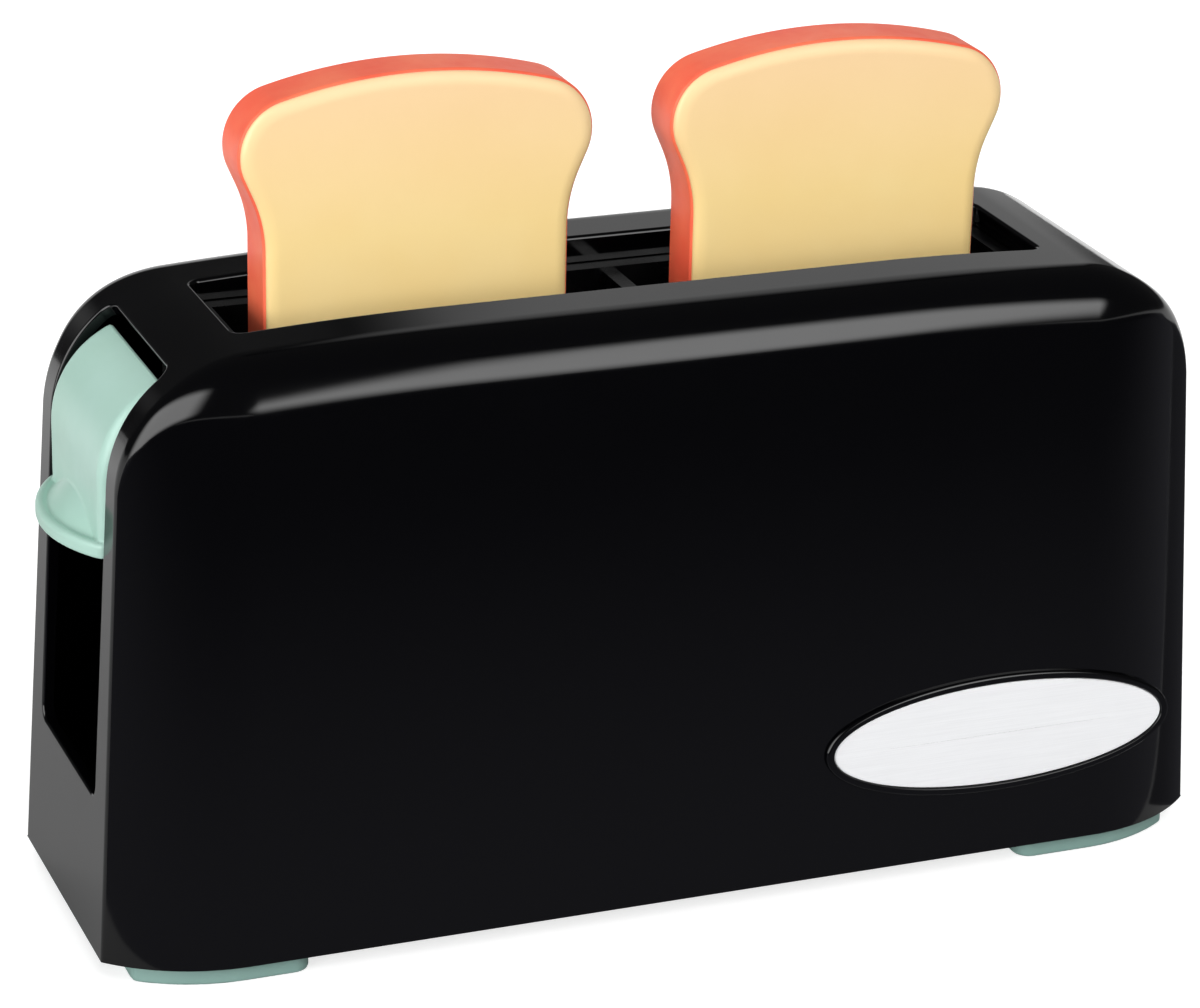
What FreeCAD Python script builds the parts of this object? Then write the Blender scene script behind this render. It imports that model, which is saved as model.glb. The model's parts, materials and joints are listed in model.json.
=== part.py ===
"""Toy toaster with a pop-up lever: a drafted one-piece housing, its mechanism and two toy bread slices.

Millimetres. X runs along the length with the lever at -X, the front face looks to -Y, and Z is up.
Every height below is measured from the housing's lower edge. The exported pieces are lifted by
foot_height, so that the feet stand on Z = 0 under the housing's middle.
"""

import FreeCAD, Part
import math
import os

V = FreeCAD.Vector

# ---------------------------------------------------------------- housing
body_length = 200.0          # along X at the lower edge
body_width = 68.4            # along Y at the lower edge
body_height = 103.9          # lower edge to the level middle of the top
end_draft = 0.055            # how far an end leans in per millimetre of height
side_draft = 0.0368          # the same for the long sides and the plan corners
corner_end = 23.0            # end to where a long side turns into the plan corner, at the lower edge
corner_radius = 33.0         # plan corner, tangent to the long side, creased at the end face
arch_radius = 23.0           # end face to shoulder
shoulder_radius = 540.0      # gentle fall of the top towards each arch
shoulder_end = 62.0          # end to where the level middle of the top stops
blend_angle = 30.0           # place on the arch, above level, where the edge has blend_edge_radius
top_edge_radius = 9.0        # top to long side
blend_edge_radius = 4.0
end_edge_radius = 1.4        # crease between the end face and the plan corner
wall = 2.0
rim_notch = 4.5              # the inside is notched by this along its rims, clear of the outer rounds
past = 1.0                   # how far a cutting tool runs past a face

# directions in degrees from +X
upright = 90.0
backwards = 180.0

# ---------------------------------------------------------------- bread opening
opening_left_end = 27.2      # from the housing's left end
opening_right_end = 29.4     # from its right end
opening_width = 27.0
opening_corner = 2.0
opening_edge = 0.5           # bevel of its long edges
collar_depth = 4.6           # crown to the collar's lower edge
collar_wall = 1.6

# ---------------------------------------------------------------- lever slot
slot_width = 34.6
slot_sill = 26.0             # height of its lower edge
slot_corner = 3.0
slot_top_end = 15.2          # end of the housing to where it stops on the arch

# ---------------------------------------------------------------- oval badge
badge_end = 41.3             # right end of the housing to its middle
badge_height = 21.8
badge_half_length = 31.6
badge_half_height = 9.8
badge_thickness = 1.2
badge_clearance = 0.1
badge_sink = 0.35            # plate face below the rim's top
rim_width = 2.3
rim_stand = 0.9              # rim's top above the front face
rim_edge = 0.5               # bevel of the rim's top edge
rim_depth = 6.0              # how deep the rim's boss reaches behind the front face

# ---------------------------------------------------------------- base plate and feet
base_thickness = 2.2
base_clearance = 0.2         # gap to the inside of the wall
base_rib_height = 3.0
base_rib_width = 1.6
base_rib_y = 20.0
foot_height = 3.5
foot_inset = 1.8             # foot edge inside the housing's edge
foot_end = 4.7               # end of the housing to the foot's outer end
foot_length_left = 28.3
foot_length_right = 31.3
foot_corner = 3.0
foot_edge = 0.8              # bevel of its lower edge
peg_end = 19.0               # end of the housing to the peg's axis
peg_y = 19.0
peg_half = 1.8               # half width of the square peg
peg_height = 5.0
peg_gap = 0.05               # peg in its socket
peg_socket_wall = 1.5
peg_socket_top = 6.0

# ---------------------------------------------------------------- fasteners
screw_radius = 1.2
screw_pilot_gap = 0.05       # thread core in its pilot hole
screw_through_gap = 0.3      # shank in a through hole
screw_head_radius = 2.4
screw_head_height = 1.6
screw_head_gap = 0.3         # head in its counterbore
boss_half = 3.0              # half width of a square screw boss
boss_floor = 1.5             # plastic left under a sunk head
base_screw_end = 45.0        # end of the housing to the screw axis
base_screw_wall_gap = 3.3    # screw axis to the inside of the wall, at the lower edge
base_screw_length = 10.0
base_boss_top = 30.0
cage_screw_length = 4.2

# ---------------------------------------------------------------- bread cage
ledge_end = 3.0              # cage mouth inside the opening, at each end
ledge_side = 3.5             # the same along each long side
cage_gap = 0.2               # under the collar
cage_flange_thickness = 2.0
cage_flange_reach = 7.5      # flange past the opening at each end
cage_flange_side = 3.2       # flange past the opening at each side
cage_flange_corner = 3.2
cage_wall = 1.5
cage_bottom = 22.0
cage_screw_y = 12.6
cage_screw_reach = 3.6       # screw axis past the end of the opening
divider_offset = 2.0         # towards +X from the middle of the opening
divider_thickness = 2.7
divider_drop = 0.8           # divider's top below the cage mouth
guide_rib_width = 1.2
guide_rib_depth = 1.6

# ---------------------------------------------------------------- guide rods, sleeves and springs
rod_past_opening = 5.3       # rod axis past the end of the opening
rod_radius = 1.5
rod_gap = 0.05               # rod in its sockets and in the flange
rod_running_gap = 0.08       # rod in a sliding hub
rod_seat = 1.0               # height of the rod's lower end
rod_stand = 0.1              # rod's top above the cage flange
socket_radius = 4.6
socket_top = 6.0
sleeve_radius = 2.9
sleeve_gap = 0.3             # sleeve to the hub at rest
spring_radius = 2.7          # to the middle of the wire
spring_wire = 0.8            # across the wire
spring_turns = 6
spring_steps = 12            # straight lengths of wire per turn
spring_end_gap = 0.05

# ---------------------------------------------------------------- carriage
travel = 40.0
tray_drop = 34.9             # top of the housing to the tray, at rest, popped up
tray_thickness = 2.4
tray_end_gap = 0.9           # tray to the cage walls
tray_side_gap = 0.9
tray_rim_height = 1.6
tray_rim_width = 1.4
tray_rib_depth = 4.0
hub_radius = 4.0
hub_height = 11.0
arm_half_width = 3.0
arm_depth = 7.0
arm_slot_gap = 0.6           # arm in the slots of the cage ends
lever_plate_half_width = 9.5
lever_plate_thickness = 2.0
lever_plate_rise = 13.0      # above the tray
gusset_half = 1.0            # half thickness of the gusset behind the plate

# ---------------------------------------------------------------- lever
lever_width = 33.2
lever_end = 3.7              # end of the housing to the outer face of the straight part
lever_below_tray = 0.6       # tray to the lever's lower edge
lever_arc_drop = 23.4        # top of the housing to where the straight part turns into the arc
lever_arc_radius = 17.2
lever_arc_angle = 68.0
lever_thickness = 2.2
lever_edge = 1.2             # bevel along both long edges
lever_flange_depth = 5.0
lever_flange_thickness = 1.8
lever_flange_sink = 0.3      # flange into the back of the panel
tab_stand = 6.1              # furthest point of the finger tab out of the lever's face
tab_lip_height = 3.2
tab_lip_edge = 0.8           # bevel of its upper edge
tab_lip_width = 1.7
tab_scoop_height = 8.2       # tab's lower edge to the top of the scoop
tab_pocket_depth = 1.8
tab_turn_past = 5.0          # degrees the tab is turned past the lever's width, before trimming
lever_boss_half = 2.6
lever_screw_y = 6.2
lever_screw_rise = 7.6       # screw axis above the tray
lever_screw_length = 5.0

# ---------------------------------------------------------------- catch spring
catch_gap = 0.6              # leaf to the nose on the hub
catch_thickness = 0.5
catch_half_width = 3.0
catch_bump = 1.4
catch_bump_rise = 1.2        # bump above the nose when the carriage is down
catch_bump_half = 2.4
catch_lead = 3.0
catch_foot = 9.0
catch_screw_back = 5.6       # screw axis from the leaf
catch_pad = 1.2              # pad under the leaf's foot
catch_pad_edge = 1.0         # pad past each side of the leaf
nose_reach = 2.2
nose_half_width = 2.5
nose_height = 4.0

# ---------------------------------------------------------------- bread slices
slice_seat_gap = 0.3
slice_left_gap = 8.7         # left end of the opening to the straight side of the left slice
slice_right_gap = 9.3        # right end of the opening to the right slice
slice_middle_gap = 22.6      # between the straight sides of the two slices
slice_height = 72.7          # foot of the crust to the crest of the crumb
slice_flare_drop = 29.0      # crest to where the straight sides end
slice_flare_radius = 24.0
slice_flare_angle = 24.5     # degrees from upright
ear_in = 4.5                 # straight side to the centre of the round ear at each upper corner
ear_drop = 11.4              # crest to the centre of the ear
ear_radius = 9.2
slice_foot_radius = 3.0
slice_margin = 0.4           # crust outside the crumb
crust_thickness = 7.6
crumb_thickness = 1.2

# ---------------------------------------------------------------- sizes that follow
far = 2 * body_length
half_length = body_length / 2
half_width = body_width / 2
slant = math.hypot(1.0, end_draft)
corner_start = half_length - corner_end
shoulder_x = half_length - shoulder_end
opening_half = half_length - (opening_left_end + opening_right_end) / 2
opening_centre = (opening_left_end - opening_right_end) / 2
opening_x = (opening_centre - opening_half, opening_centre + opening_half)
slot_top_x = half_length - slot_top_end
badge_x = half_length - badge_end
foot_end_x = half_length - foot_end
peg_x = half_length - peg_end
base_screw_x = half_length - base_screw_end
collar_bottom = body_height - collar_depth
flange_top = collar_bottom - cage_gap
flange_bottom = flange_top - cage_flange_thickness
mouth_half_x = opening_half - ledge_end
mouth_half_y = opening_width / 2 - ledge_side
cage_half_y = mouth_half_y + cage_wall
divider_x = opening_centre + divider_offset
rod_x = (opening_x[0] - rod_past_opening, opening_x[1] + rod_past_opening)
rod_top = flange_top + rod_stand
tray_top = body_height - tray_drop
hub_bottom = tray_top - hub_height
pilot_radius = screw_radius + screw_pilot_gap
through_radius = screw_radius + screw_through_gap
counterbore_radius = screw_head_radius + screw_head_gap
counterbore_depth = screw_head_height + screw_head_gap
pad_top = counterbore_depth + boss_floor
lever_x = half_length - lever_end
lever_bottom = tray_top - lever_below_tray
lever_arc_height = body_height - lever_arc_drop
lever_half = lever_width / 2
lever_plate_x = lever_x - lever_thickness - lever_thickness
tab_radius = (tab_stand ** 2 + lever_half ** 2) / (2 * tab_stand)
slice_room = 2 * opening_half - slice_left_gap - slice_right_gap - slice_middle_gap
slice_half = slice_room / 4 - slice_margin
slice_x = (opening_x[0] + slice_left_gap + slice_room / 4, opening_x[1] - slice_right_gap - slice_room / 4)
ear_x = slice_half - ear_in
slice_bottom = tray_top + slice_seat_gap
slice_top = slice_bottom + slice_height
slice_flare_start = slice_top - slice_flare_drop
ear_height = slice_top - ear_drop


# ================================================================ small helpers
def box(x0, x1, y0, y1, z0, z1):
    """Block between two corners."""
    return Part.makeBox(x1 - x0, y1 - y0, z1 - z0, V(x0, y0, z0))


def post(x, y, z0, z1, radius):
    """Upright cylinder."""
    return Part.makeCylinder(radius, z1 - z0, V(x, y, z0))


def bar(x, y, z0, z1, radius, sides=8):
    """Upright many-sided bar with its corners on a circle: the form of a small screw or its hole."""
    steps = [2 * math.pi * step / sides for step in range(sides)]
    corners = [V(x + radius * math.cos(a), y + radius * math.sin(a), z0) for a in steps]
    return Part.Face(Part.makePolygon(corners + corners[:1])).extrude(V(0, 0, z1 - z0))


def bar_along_x(x0, x1, y, z, radius):
    """The same bar lying along X."""
    piece = bar(0, 0, 0, x1 - x0, radius)
    piece.rotate(V(0, 0, 0), V(0, 1, 0), upright)
    piece.translate(V(x0, y, z))
    return piece


def square_post(x, y, z0, z1, half):
    """Upright square bar."""
    return box(x - half, x + half, y - half, y + half, z0, z1)


def rounded_plan(x0, x1, y0, y1, radius, z0, z1):
    """Upright prism with a rectangular plan and rounded corners."""
    block = box(x0, x1, y0, y1, z0, z1)
    upright = [edge for edge in block.Edges if abs(edge.BoundBox.ZLength - (z1 - z0)) < 1e-6]
    return block.makeFillet(radius, upright)


def fused(shapes):
    """One solid from touching pieces, with its seams removed."""
    whole = shapes[0]
    for shape in shapes[1:]:
        whole = whole.fuse(shape)
    return whole.removeSplitter()


def prism_y(points, y0, y1):
    """Prism along Y over a closed outline of (x, z) points."""
    corners = [V(x, y0, z) for x, z in points]
    outline = Part.makePolygon(corners + corners[:1])
    return Part.Face(outline).extrude(V(0, y1 - y0, 0))


def turned(angle, radius, x=0.0, z=0.0):
    """Point on a circle about (x, z), angle in degrees from +X."""
    return x + radius * math.cos(math.radians(angle)), z + radius * math.sin(math.radians(angle))


def edge_midpoint(edge):
    """Middle of an edge by its parameter."""
    return edge.valueAt((edge.FirstParameter + edge.LastParameter) / 2)


def four_ways(x, y):
    """The four points at plus and minus x and y."""
    return [(sx * x, sy * y) for sx in (-1, 1) for sy in (-1, 1)]


# ================================================================ outer form of the housing
def arch_centre():
    """Centre of the arch arc: tangent to the leaning end line and inside the shoulder arc."""
    shoulder_z = body_height - shoulder_radius
    gap = shoulder_radius - arch_radius
    reach = half_length - arch_radius * slant - end_draft * shoulder_z - shoulder_x
    root = math.sqrt((reach * end_draft) ** 2 - slant ** 2 * (reach ** 2 - gap ** 2))
    rise = (reach * end_draft + root) / slant ** 2
    return shoulder_x + reach - end_draft * rise, shoulder_z + rise


def arch_angles():
    """Angles above level where the arch arc leaves the end line and meets the shoulder arc."""
    centre_x, centre_z = arch_centre()
    low = math.degrees(math.atan(end_draft))
    rise = centre_z - body_height + shoulder_radius
    return low, math.degrees(math.atan2(rise, centre_x - shoulder_x))


def arch_outline(inset, bottom):
    """Side view of the housing, moved in by inset, as a face in XZ.

    End lines, two arcs per arch that meet at the blend angle, the level top and the shoulders. Each
    shoulder is so flat that two chords stand in for its arc.
    """
    centre_x, centre_z = arch_centre()
    low, high = arch_angles()
    radius = arch_radius - inset
    angles = (low, (low + blend_angle) / 2, blend_angle, (blend_angle + high) / 2, high)
    arc = [turned(angle, radius, centre_x, centre_z) for angle in angles]
    shoulder = [turned(angle, shoulder_radius - inset, shoulder_x, body_height - shoulder_radius)
                for angle in ((high + upright) / 2, upright)]
    foot = (half_length - inset * slant - end_draft * bottom, bottom)
    right = [V(x, -far / 2, z) for x, z in [foot] + arc + shoulder]
    left = [V(-point.x, point.y, point.z) for point in right]
    edges = [
        Part.LineSegment(left[0], right[0]).toShape(),
        Part.LineSegment(left[7], right[7]).toShape(),
    ]
    for side in (left, right):
        for first in (0, 5, 6):
            edges.append(Part.LineSegment(side[first], side[first + 1]).toShape())
        for first in (1, 3):
            edges.append(Part.Arc(*side[first:first + 3]).toShape())
    return Part.Face(Part.Wire(Part.__sortEdges__(edges)))


def corner_cut(sign_x, sign_y, inset):
    """What lies outside one rounded plan corner: a leaning block less its cylinder.

    The cylinder's axis leans in both ways, so that it stays tangent to the leaning long side.
    """
    out = V(0, sign_y, side_draft).normalize()
    axis = V(-sign_x * side_draft, -sign_y * side_draft, 1.0).normalize()
    along = V(sign_x, 0, 0) - axis * axis.dot(V(sign_x, 0, 0))
    along.normalize()
    start = V(sign_x * corner_start, sign_y * half_width, 0) - out * corner_radius - axis * half_width
    reach = 2 * corner_radius
    corners = [start, start + along * reach, start + (along + out) * reach, start + out * reach]
    block = Part.Face(Part.makePolygon(corners + corners[:1])).extrude(axis * body_length)
    return block.cut(Part.makeCylinder(corner_radius - inset, body_length, start, axis))


def sharp_form(top_inset, side_inset, bottom):
    """Drafted sides and corners under the arched top, before the edges are rounded.

    The ends, arches and top are moved in by top_inset, the long sides and corners by side_inset.
    """
    low = bottom - 2 * wall
    high = body_height + 2 * wall
    inner = half_width - side_inset * math.hypot(1.0, side_draft)
    section = [(-inner + side_draft * low, low), (inner - side_draft * low, low),
               (inner - side_draft * high, high), (-inner + side_draft * high, high)]
    corners = [V(-far / 2, y, z) for y, z in section]
    sides = Part.Face(Part.makePolygon(corners + corners[:1])).extrude(V(far, 0, 0))
    form = arch_outline(top_inset, bottom).extrude(V(0, far, 0)).common(sides)
    for sign_x, sign_y in four_ways(1, 1):
        form = form.cut(corner_cut(sign_x, sign_y, side_inset))
    return form


def is_arch_face(face):
    """End faces, arches and top: the faces with no slope along Y."""
    u0, u1, v0, v1 = face.ParameterRange
    return abs(face.normalAt((u0 + u1) / 2, (v0 + v1) / 2).y) < 1e-4


def rim_edges(form, bottom):
    """Numbered edges where the ends, arches and top meet the long sides and plan corners."""
    rims = []
    for number, edge in enumerate(form.Edges, 1):
        faces = form.ancestorsOfType(edge, Part.Face)
        on_bottom = any(abs(face.BoundBox.ZMax - bottom) < 1e-6 for face in faces)
        if not on_bottom and len([face for face in faces if is_arch_face(face)]) == 1:
            rims.append((number, edge))
    return rims


def soft_form(bottom):
    """The housing's outer form with one running fillet per long side, the same in all four quarters.

    The fillet is end_edge_radius up the ends and grows round the arch to its full radius on top.
    """
    form = sharp_form(0.0, 0.0, bottom)
    centre_z = arch_centre()[1]
    low, high = arch_angles()
    stages = (
        (low, end_edge_radius),
        (blend_angle, blend_edge_radius),
        (high, top_edge_radius),
    )

    def radius_at(point):
        for angle, radius in stages:
            if point.z < centre_z + arch_radius * math.sin(math.radians(angle)) + end_draft:
                return radius
        return top_edge_radius

    document = FreeCAD.newDocument()
    source = document.addObject("Part::Feature", "form")
    source.Shape = form
    fillet = document.addObject("Part::Fillet", "fillet")
    fillet.Base = source
    rims = []
    for number, edge in rim_edges(form, bottom):
        radii = [radius_at(edge.valueAt(end)) for end in edge.ParameterRange]
        rims.append((number, *radii) if edge.Orientation == "Forward" else (number, *radii[::-1]))
    fillet.Edges = rims
    document.recompute()
    quarter = fillet.Shape.common(box(-far, 0, -far, 0, bottom, far))
    FreeCAD.closeDocument(document.Name)
    side = fused([quarter, quarter.mirror(V(0, 0, 0), V(1, 0, 0))])
    return fused([side, side.mirror(V(0, 0, 0), V(0, 1, 0))])


def inner_form(inset):
    """Space inside the housing, notched along its rims to stay inside the outer rounds."""
    deep = inset + rim_notch
    return fused([sharp_form(deep, inset, -wall), sharp_form(inset, deep, -wall)])


def level_cut(form, z0, z1):
    """The part of a form between two heights."""
    return form.common(box(-far, far, -far, far, z0, z1))


def wall_inside_y(height):
    """Y of the inside of a long wall at a height."""
    return half_width - side_draft * height - wall


# ================================================================ housing
def opening_prism(grow, z0, z1):
    """Prism of the bread opening, widened by grow."""
    half_y = opening_width / 2 + grow
    return rounded_plan(opening_x[0] - grow, opening_x[1] + grow, -half_y, half_y,
                        opening_corner + grow, z0, z1)


def lever_slot():
    """Cut for the lever: up the end face and over the arch."""
    block = box(-far, -slot_top_x, -slot_width / 2, slot_width / 2, slot_sill, far)
    low = [
        edge for edge in block.Edges
        if edge.BoundBox.ZMax < slot_sill + 1e-6 and edge.BoundBox.YLength < 1e-6
    ]
    return block.makeFillet(slot_corner, low)


def front_placement():
    """Frame on the front face at the badge: X along the housing, Z out of the face."""
    angle = upright - math.degrees(math.atan(side_draft))
    face_y = -(half_width - side_draft * badge_height)
    return FreeCAD.Placement(V(badge_x, face_y, badge_height), FreeCAD.Rotation(V(1, 0, 0), angle))


def oval(half_long, half_high, low, high):
    """Oval prism on the front face between two distances out of the face."""
    curve = Part.Ellipse(V(0, 0, low), half_long, half_high)
    return Part.Face(Part.Wire([curve.toShape()])).extrude(V(0, 0, high - low))


def badge_rim(cavity):
    """Raised oval rim of the badge, backed by plastic down to the cavity."""
    rim = oval(badge_half_length + rim_width, badge_half_height + rim_width, -rim_depth, rim_stand)
    top = [edge for edge in rim.Edges if edge.BoundBox.ZMin > rim_stand - 1e-3]
    rim = rim.makeChamfer(rim_edge, top)
    rim.Placement = front_placement()
    return rim.cut(cavity)


def badge_recess():
    """Pocket for the badge plate."""
    grow = badge_clearance
    floor = rim_stand - badge_sink - badge_thickness
    pocket = oval(badge_half_length + grow, badge_half_height + grow, floor, rim_stand + wall)
    pocket.Placement = front_placement()
    return pocket


def base_screw_places():
    """Axes of the four screws that hold the base plate."""
    return four_ways(base_screw_x, wall_inside_y(0) - base_screw_wall_gap)


def cage_screw_places():
    """Axes of the two screws that hold the bread cage, at opposite corners."""
    reach = opening_half + cage_screw_reach
    return [(opening_centre + sign * reach, sign * cage_screw_y) for sign in (-1, 1)]


def housing_bosses(outer):
    """Screw bosses on the long walls and under the top, trimmed to the outer form."""
    bosses = []
    for x, y in base_screw_places():
        bosses.append(square_post(x, y, pad_top, base_boss_top, boss_half))
        wall_y = math.copysign(half_width, y)
        web = sorted((y, wall_y))
        bosses.append(box(x - base_rib_width / 2, x + base_rib_width / 2, *web, pad_top, base_boss_top))
    for x, y in cage_screw_places():
        bosses.append(square_post(x, y, flange_top, body_height, boss_half))
    skin = sharp_form(wall / 2, wall / 2, -wall)
    return [boss.common(skin).common(outer) for boss in bosses]


def housing_pilots():
    """Pilot holes in the bosses."""
    holes = [bar(x, y, 0, pad_top + base_screw_length, pilot_radius) for x, y in base_screw_places()]
    depth = flange_bottom + cage_screw_length + screw_head_gap
    holes += [bar(x, y, 0, depth, pilot_radius) for x, y in cage_screw_places()]
    return holes


def wall_ribs(cavity):
    """Shallow upright ribs inside both long walls."""
    ribs = []
    for x in (-base_screw_x / 2, 0.0, base_screw_x / 2):
        for sign in (-1, 1):
            y = sign * (wall_inside_y(0) - guide_rib_depth)
            web = sorted((y, sign * half_width))
            rib = box(x - guide_rib_width / 2, x + guide_rib_width / 2, *web, pad_top, body_height / 2)
            ribs.append(rib.common(cavity))
    return ribs


def outer_shell():
    """Open-bottomed housing with its collar, lever slot, badge rim, bosses and ribs."""
    outer = soft_form(0.0)
    cavity = inner_form(wall)
    collar = opening_prism(collar_wall, collar_bottom, body_height).common(outer)
    shell = outer.cut(cavity)
    shell = fused([shell, collar, badge_rim(cavity)] + housing_bosses(outer) + wall_ribs(cavity))
    for tool in [opening_prism(0.0, slot_sill, far), lever_slot(), badge_recess()] + housing_pilots():
        shell = shell.cut(tool)
    return bevel_opening(shell)


def bevel_opening(shell):
    """Small bevel along the long upper edges of the bread opening."""
    mouth = []
    for edge in shell.Edges:
        limits = edge.BoundBox
        on_side = abs(abs(limits.YMin) - opening_width / 2) < 1e-3 and limits.YLength < 1e-3
        on_top = limits.ZMin > body_height - collar_depth / 2
        if on_side and on_top and limits.XLength > opening_corner:
            mouth.append(edge)
    return shell.makeChamfer(opening_edge, mouth)


def badge_plate():
    """Bare oval plate in the rim."""
    top = rim_stand - badge_sink
    plate = oval(badge_half_length, badge_half_height, top - badge_thickness, top)
    plate.Placement = front_placement()
    return plate


# ================================================================ base plate and feet
def catch_leaf_x():
    """Inner face of the catch leaf."""
    return rod_x[1] + hub_radius + nose_reach + catch_gap


def base_plate_pieces():
    """Plate, screw pads, peg sockets, rod sockets, stiffening ribs and the pad of the catch."""
    form = inner_form(wall + base_clearance)
    pieces = [level_cut(form, 0.0, base_thickness)]
    for x, y in base_screw_places():
        pieces.append(square_post(x, y, 0.0, pad_top, boss_half))
    for x, y in four_ways(peg_x, peg_y):
        pieces.append(square_post(x, y, 0.0, peg_socket_top, peg_half + peg_gap + peg_socket_wall))
    for x in rod_x:
        pieces.append(post(x, 0.0, 0.0, socket_top, socket_radius))
    half = base_rib_width / 2
    for sign in (-1, 1):
        y = sign * base_rib_y
        pieces.append(box(-peg_x, peg_x, y - half, y + half, 0.0, base_thickness + base_rib_height))
    leaf_x = catch_leaf_x()
    half = catch_half_width + catch_pad_edge
    pieces.append(box(leaf_x, leaf_x + catch_foot, -half, half, 0.0, base_thickness + catch_pad))
    return fused(pieces).common(level_cut(form, 0.0, body_height / 2))


def base_plate():
    """Plate that closes the underside and carries the rods, the spring, the catch and the feet."""
    plate = base_plate_pieces()
    for x, y in base_screw_places():
        plate = plate.cut(post(x, y, -past, counterbore_depth, counterbore_radius))
        plate = plate.cut(bar(x, y, -past, pad_top + past, through_radius))
    for x, y in four_ways(peg_x, peg_y):
        plate = plate.cut(square_post(x, y, -past, peg_socket_top + past, peg_half + peg_gap))
    for x in rod_x:
        plate = plate.cut(post(x, 0.0, rod_seat, socket_top + past, rod_radius + rod_gap))
    return plate.cut(bar(catch_leaf_x() + catch_screw_back, 0.0, -past, far, pilot_radius))


def foot(side, length):
    """Foot across the full depth under one end, side -1 or 1, with its two pegs."""
    form = level_cut(sharp_form(foot_inset, foot_inset, -foot_height - wall), -foot_height, 0.0)
    near, end = sorted((side * (foot_end_x - length), side * foot_end_x))
    half_y = half_width - foot_inset
    pad = form.common(rounded_plan(near, end, -half_y, half_y, foot_corner, -foot_height, 0.0))
    rim = [edge for edge in pad.Edges if edge.BoundBox.ZMax < -foot_height + 1e-6]
    pieces = [pad.makeChamfer(foot_edge, rim)]
    for sign in (-1, 1):
        pieces.append(square_post(side * peg_x, sign * peg_y, -foot_height / 2, peg_height, peg_half))
    return fused(pieces)


# ================================================================ fasteners
def screw(length):
    """Hexagon-head screw with its head seat at the origin and its shank up along +Z."""
    head = bar(0, 0, -screw_head_height, 0, screw_head_radius, 6)
    return fused([head, bar(0, 0, -screw_head_height / 2, length, screw_radius)])


def screws(places, seat, length):
    """Group of equal screws driven up, with their heads seated at one height."""
    group = []
    for x, y in places:
        piece = screw(length)
        piece.translate(V(x, y, seat))
        group.append(piece)
    return Part.makeCompound(group)


def lever_screws():
    """Screws driven towards -X through the carriage's plate into the lever."""
    group = []
    for sign in (-1, 1):
        piece = screw(lever_screw_length)
        piece.rotate(V(0, 0, 0), V(0, 1, 0), -upright)
        piece.translate(V(-lever_plate_x + lever_plate_thickness, sign * lever_screw_y,
                          tray_top + lever_screw_rise))
        group.append(piece)
    return Part.makeCompound(group)


def catch_screw():
    """Screw driven down through the catch spring's foot into the base plate."""
    piece = screw(base_thickness + catch_pad)
    piece.rotate(V(0, 0, 0), V(1, 0, 0), backwards)
    seat = base_thickness + catch_pad + catch_thickness
    piece.translate(V(catch_leaf_x() + catch_screw_back, 0.0, seat))
    return piece


# ================================================================ bread cage
def cage_ends():
    """X of the cage mouth's two ends."""
    return opening_centre - mouth_half_x, opening_centre + mouth_half_x


def bread_cage():
    """Inner frame: a flange under the collar, a chute for both slices and a divider between them."""
    low, high = cage_ends()
    reach = opening_half + cage_flange_reach
    side = opening_width / 2 + cage_flange_side
    flange = rounded_plan(opening_centre - reach, opening_centre + reach, -side, side,
                          cage_flange_corner, flange_bottom, flange_top)
    flange = flange.common(inner_form(wall + base_clearance))
    chute = box(low - cage_wall, high + cage_wall, -cage_half_y, cage_half_y, cage_bottom, flange_top)
    cage = fused([flange, chute])
    cage = cage.cut(box(low, high, -mouth_half_y, mouth_half_y, cage_bottom - past, flange_top + past))
    half = divider_thickness / 2
    divider_low = tray_top + tray_rim_height + sleeve_gap + sleeve_radius
    divider = box(divider_x - half, divider_x + half, -mouth_half_y, mouth_half_y,
                  divider_low, flange_top - divider_drop)
    cage = fused([cage, divider])
    arm_top = tray_top + tray_rim_height + sleeve_gap
    gap = arm_half_width + arm_slot_gap
    cage = cage.cut(box(-far, far, -gap, gap, cage_bottom - past, arm_top))
    for x, y in cage_screw_places():
        cage = cage.cut(bar(x, y, flange_bottom - past, flange_top + past, through_radius))
    for x in rod_x:
        cage = cage.cut(post(x, 0.0, flange_bottom - past, flange_top + past, rod_radius + rod_gap))
    return cage


# ================================================================ rods, sleeves and springs
def guide_rod(x):
    """Steel rod from the base plate's socket to the housing's top."""
    return post(x, 0.0, rod_seat, rod_top, rod_radius)


def stop_sleeve(x):
    """Rubber sleeve on a rod that ends the carriage's way up."""
    tube = post(x, 0.0, tray_top + sleeve_gap, flange_bottom, sleeve_radius)
    return tube.cut(post(x, 0.0, 0, far, rod_radius + rod_gap))


def wire_corners(x, angle, z):
    """Corners of the square spring wire where it is cut by the half plane at an angle about the rod."""
    half = spring_wire / 2
    way = V(math.cos(angle), math.sin(angle), 0)
    centre = V(x, 0, z)
    return [centre + way * (spring_radius + dr) + V(0, 0, dz)
            for dr, dz in ((-half, -half), (half, -half), (half, half), (-half, half))]


def flat_face(points):
    """Flat face over a few corner points."""
    return Part.Face(Part.makePolygon(points + points[:1]))


def return_spring(x):
    """Compression spring from the base plate to the hub, wound from short straight lengths of wire."""
    half = spring_wire / 2
    low = socket_top + spring_end_gap + half
    rise = hub_bottom - spring_end_gap - half - low
    count = spring_turns * spring_steps
    rings = [wire_corners(x, 2 * math.pi * step / spring_steps, low + rise * step / count)
             for step in range(count + 1)]
    faces = [flat_face(rings[0]), flat_face(rings[-1])]
    for here, there in zip(rings, rings[1:]):
        for first, second in ((1, 2), (3, 0)):
            faces.append(flat_face([here[first], here[second], there[second], there[first]]))
        for first, second in ((0, 1), (2, 3)):
            faces.append(flat_face([here[first], here[second], there[second]]))
            faces.append(flat_face([here[first], there[second], there[first]]))
    shell = Part.Shell(faces)
    shell.sewShape()
    return Part.Solid(shell)


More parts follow.
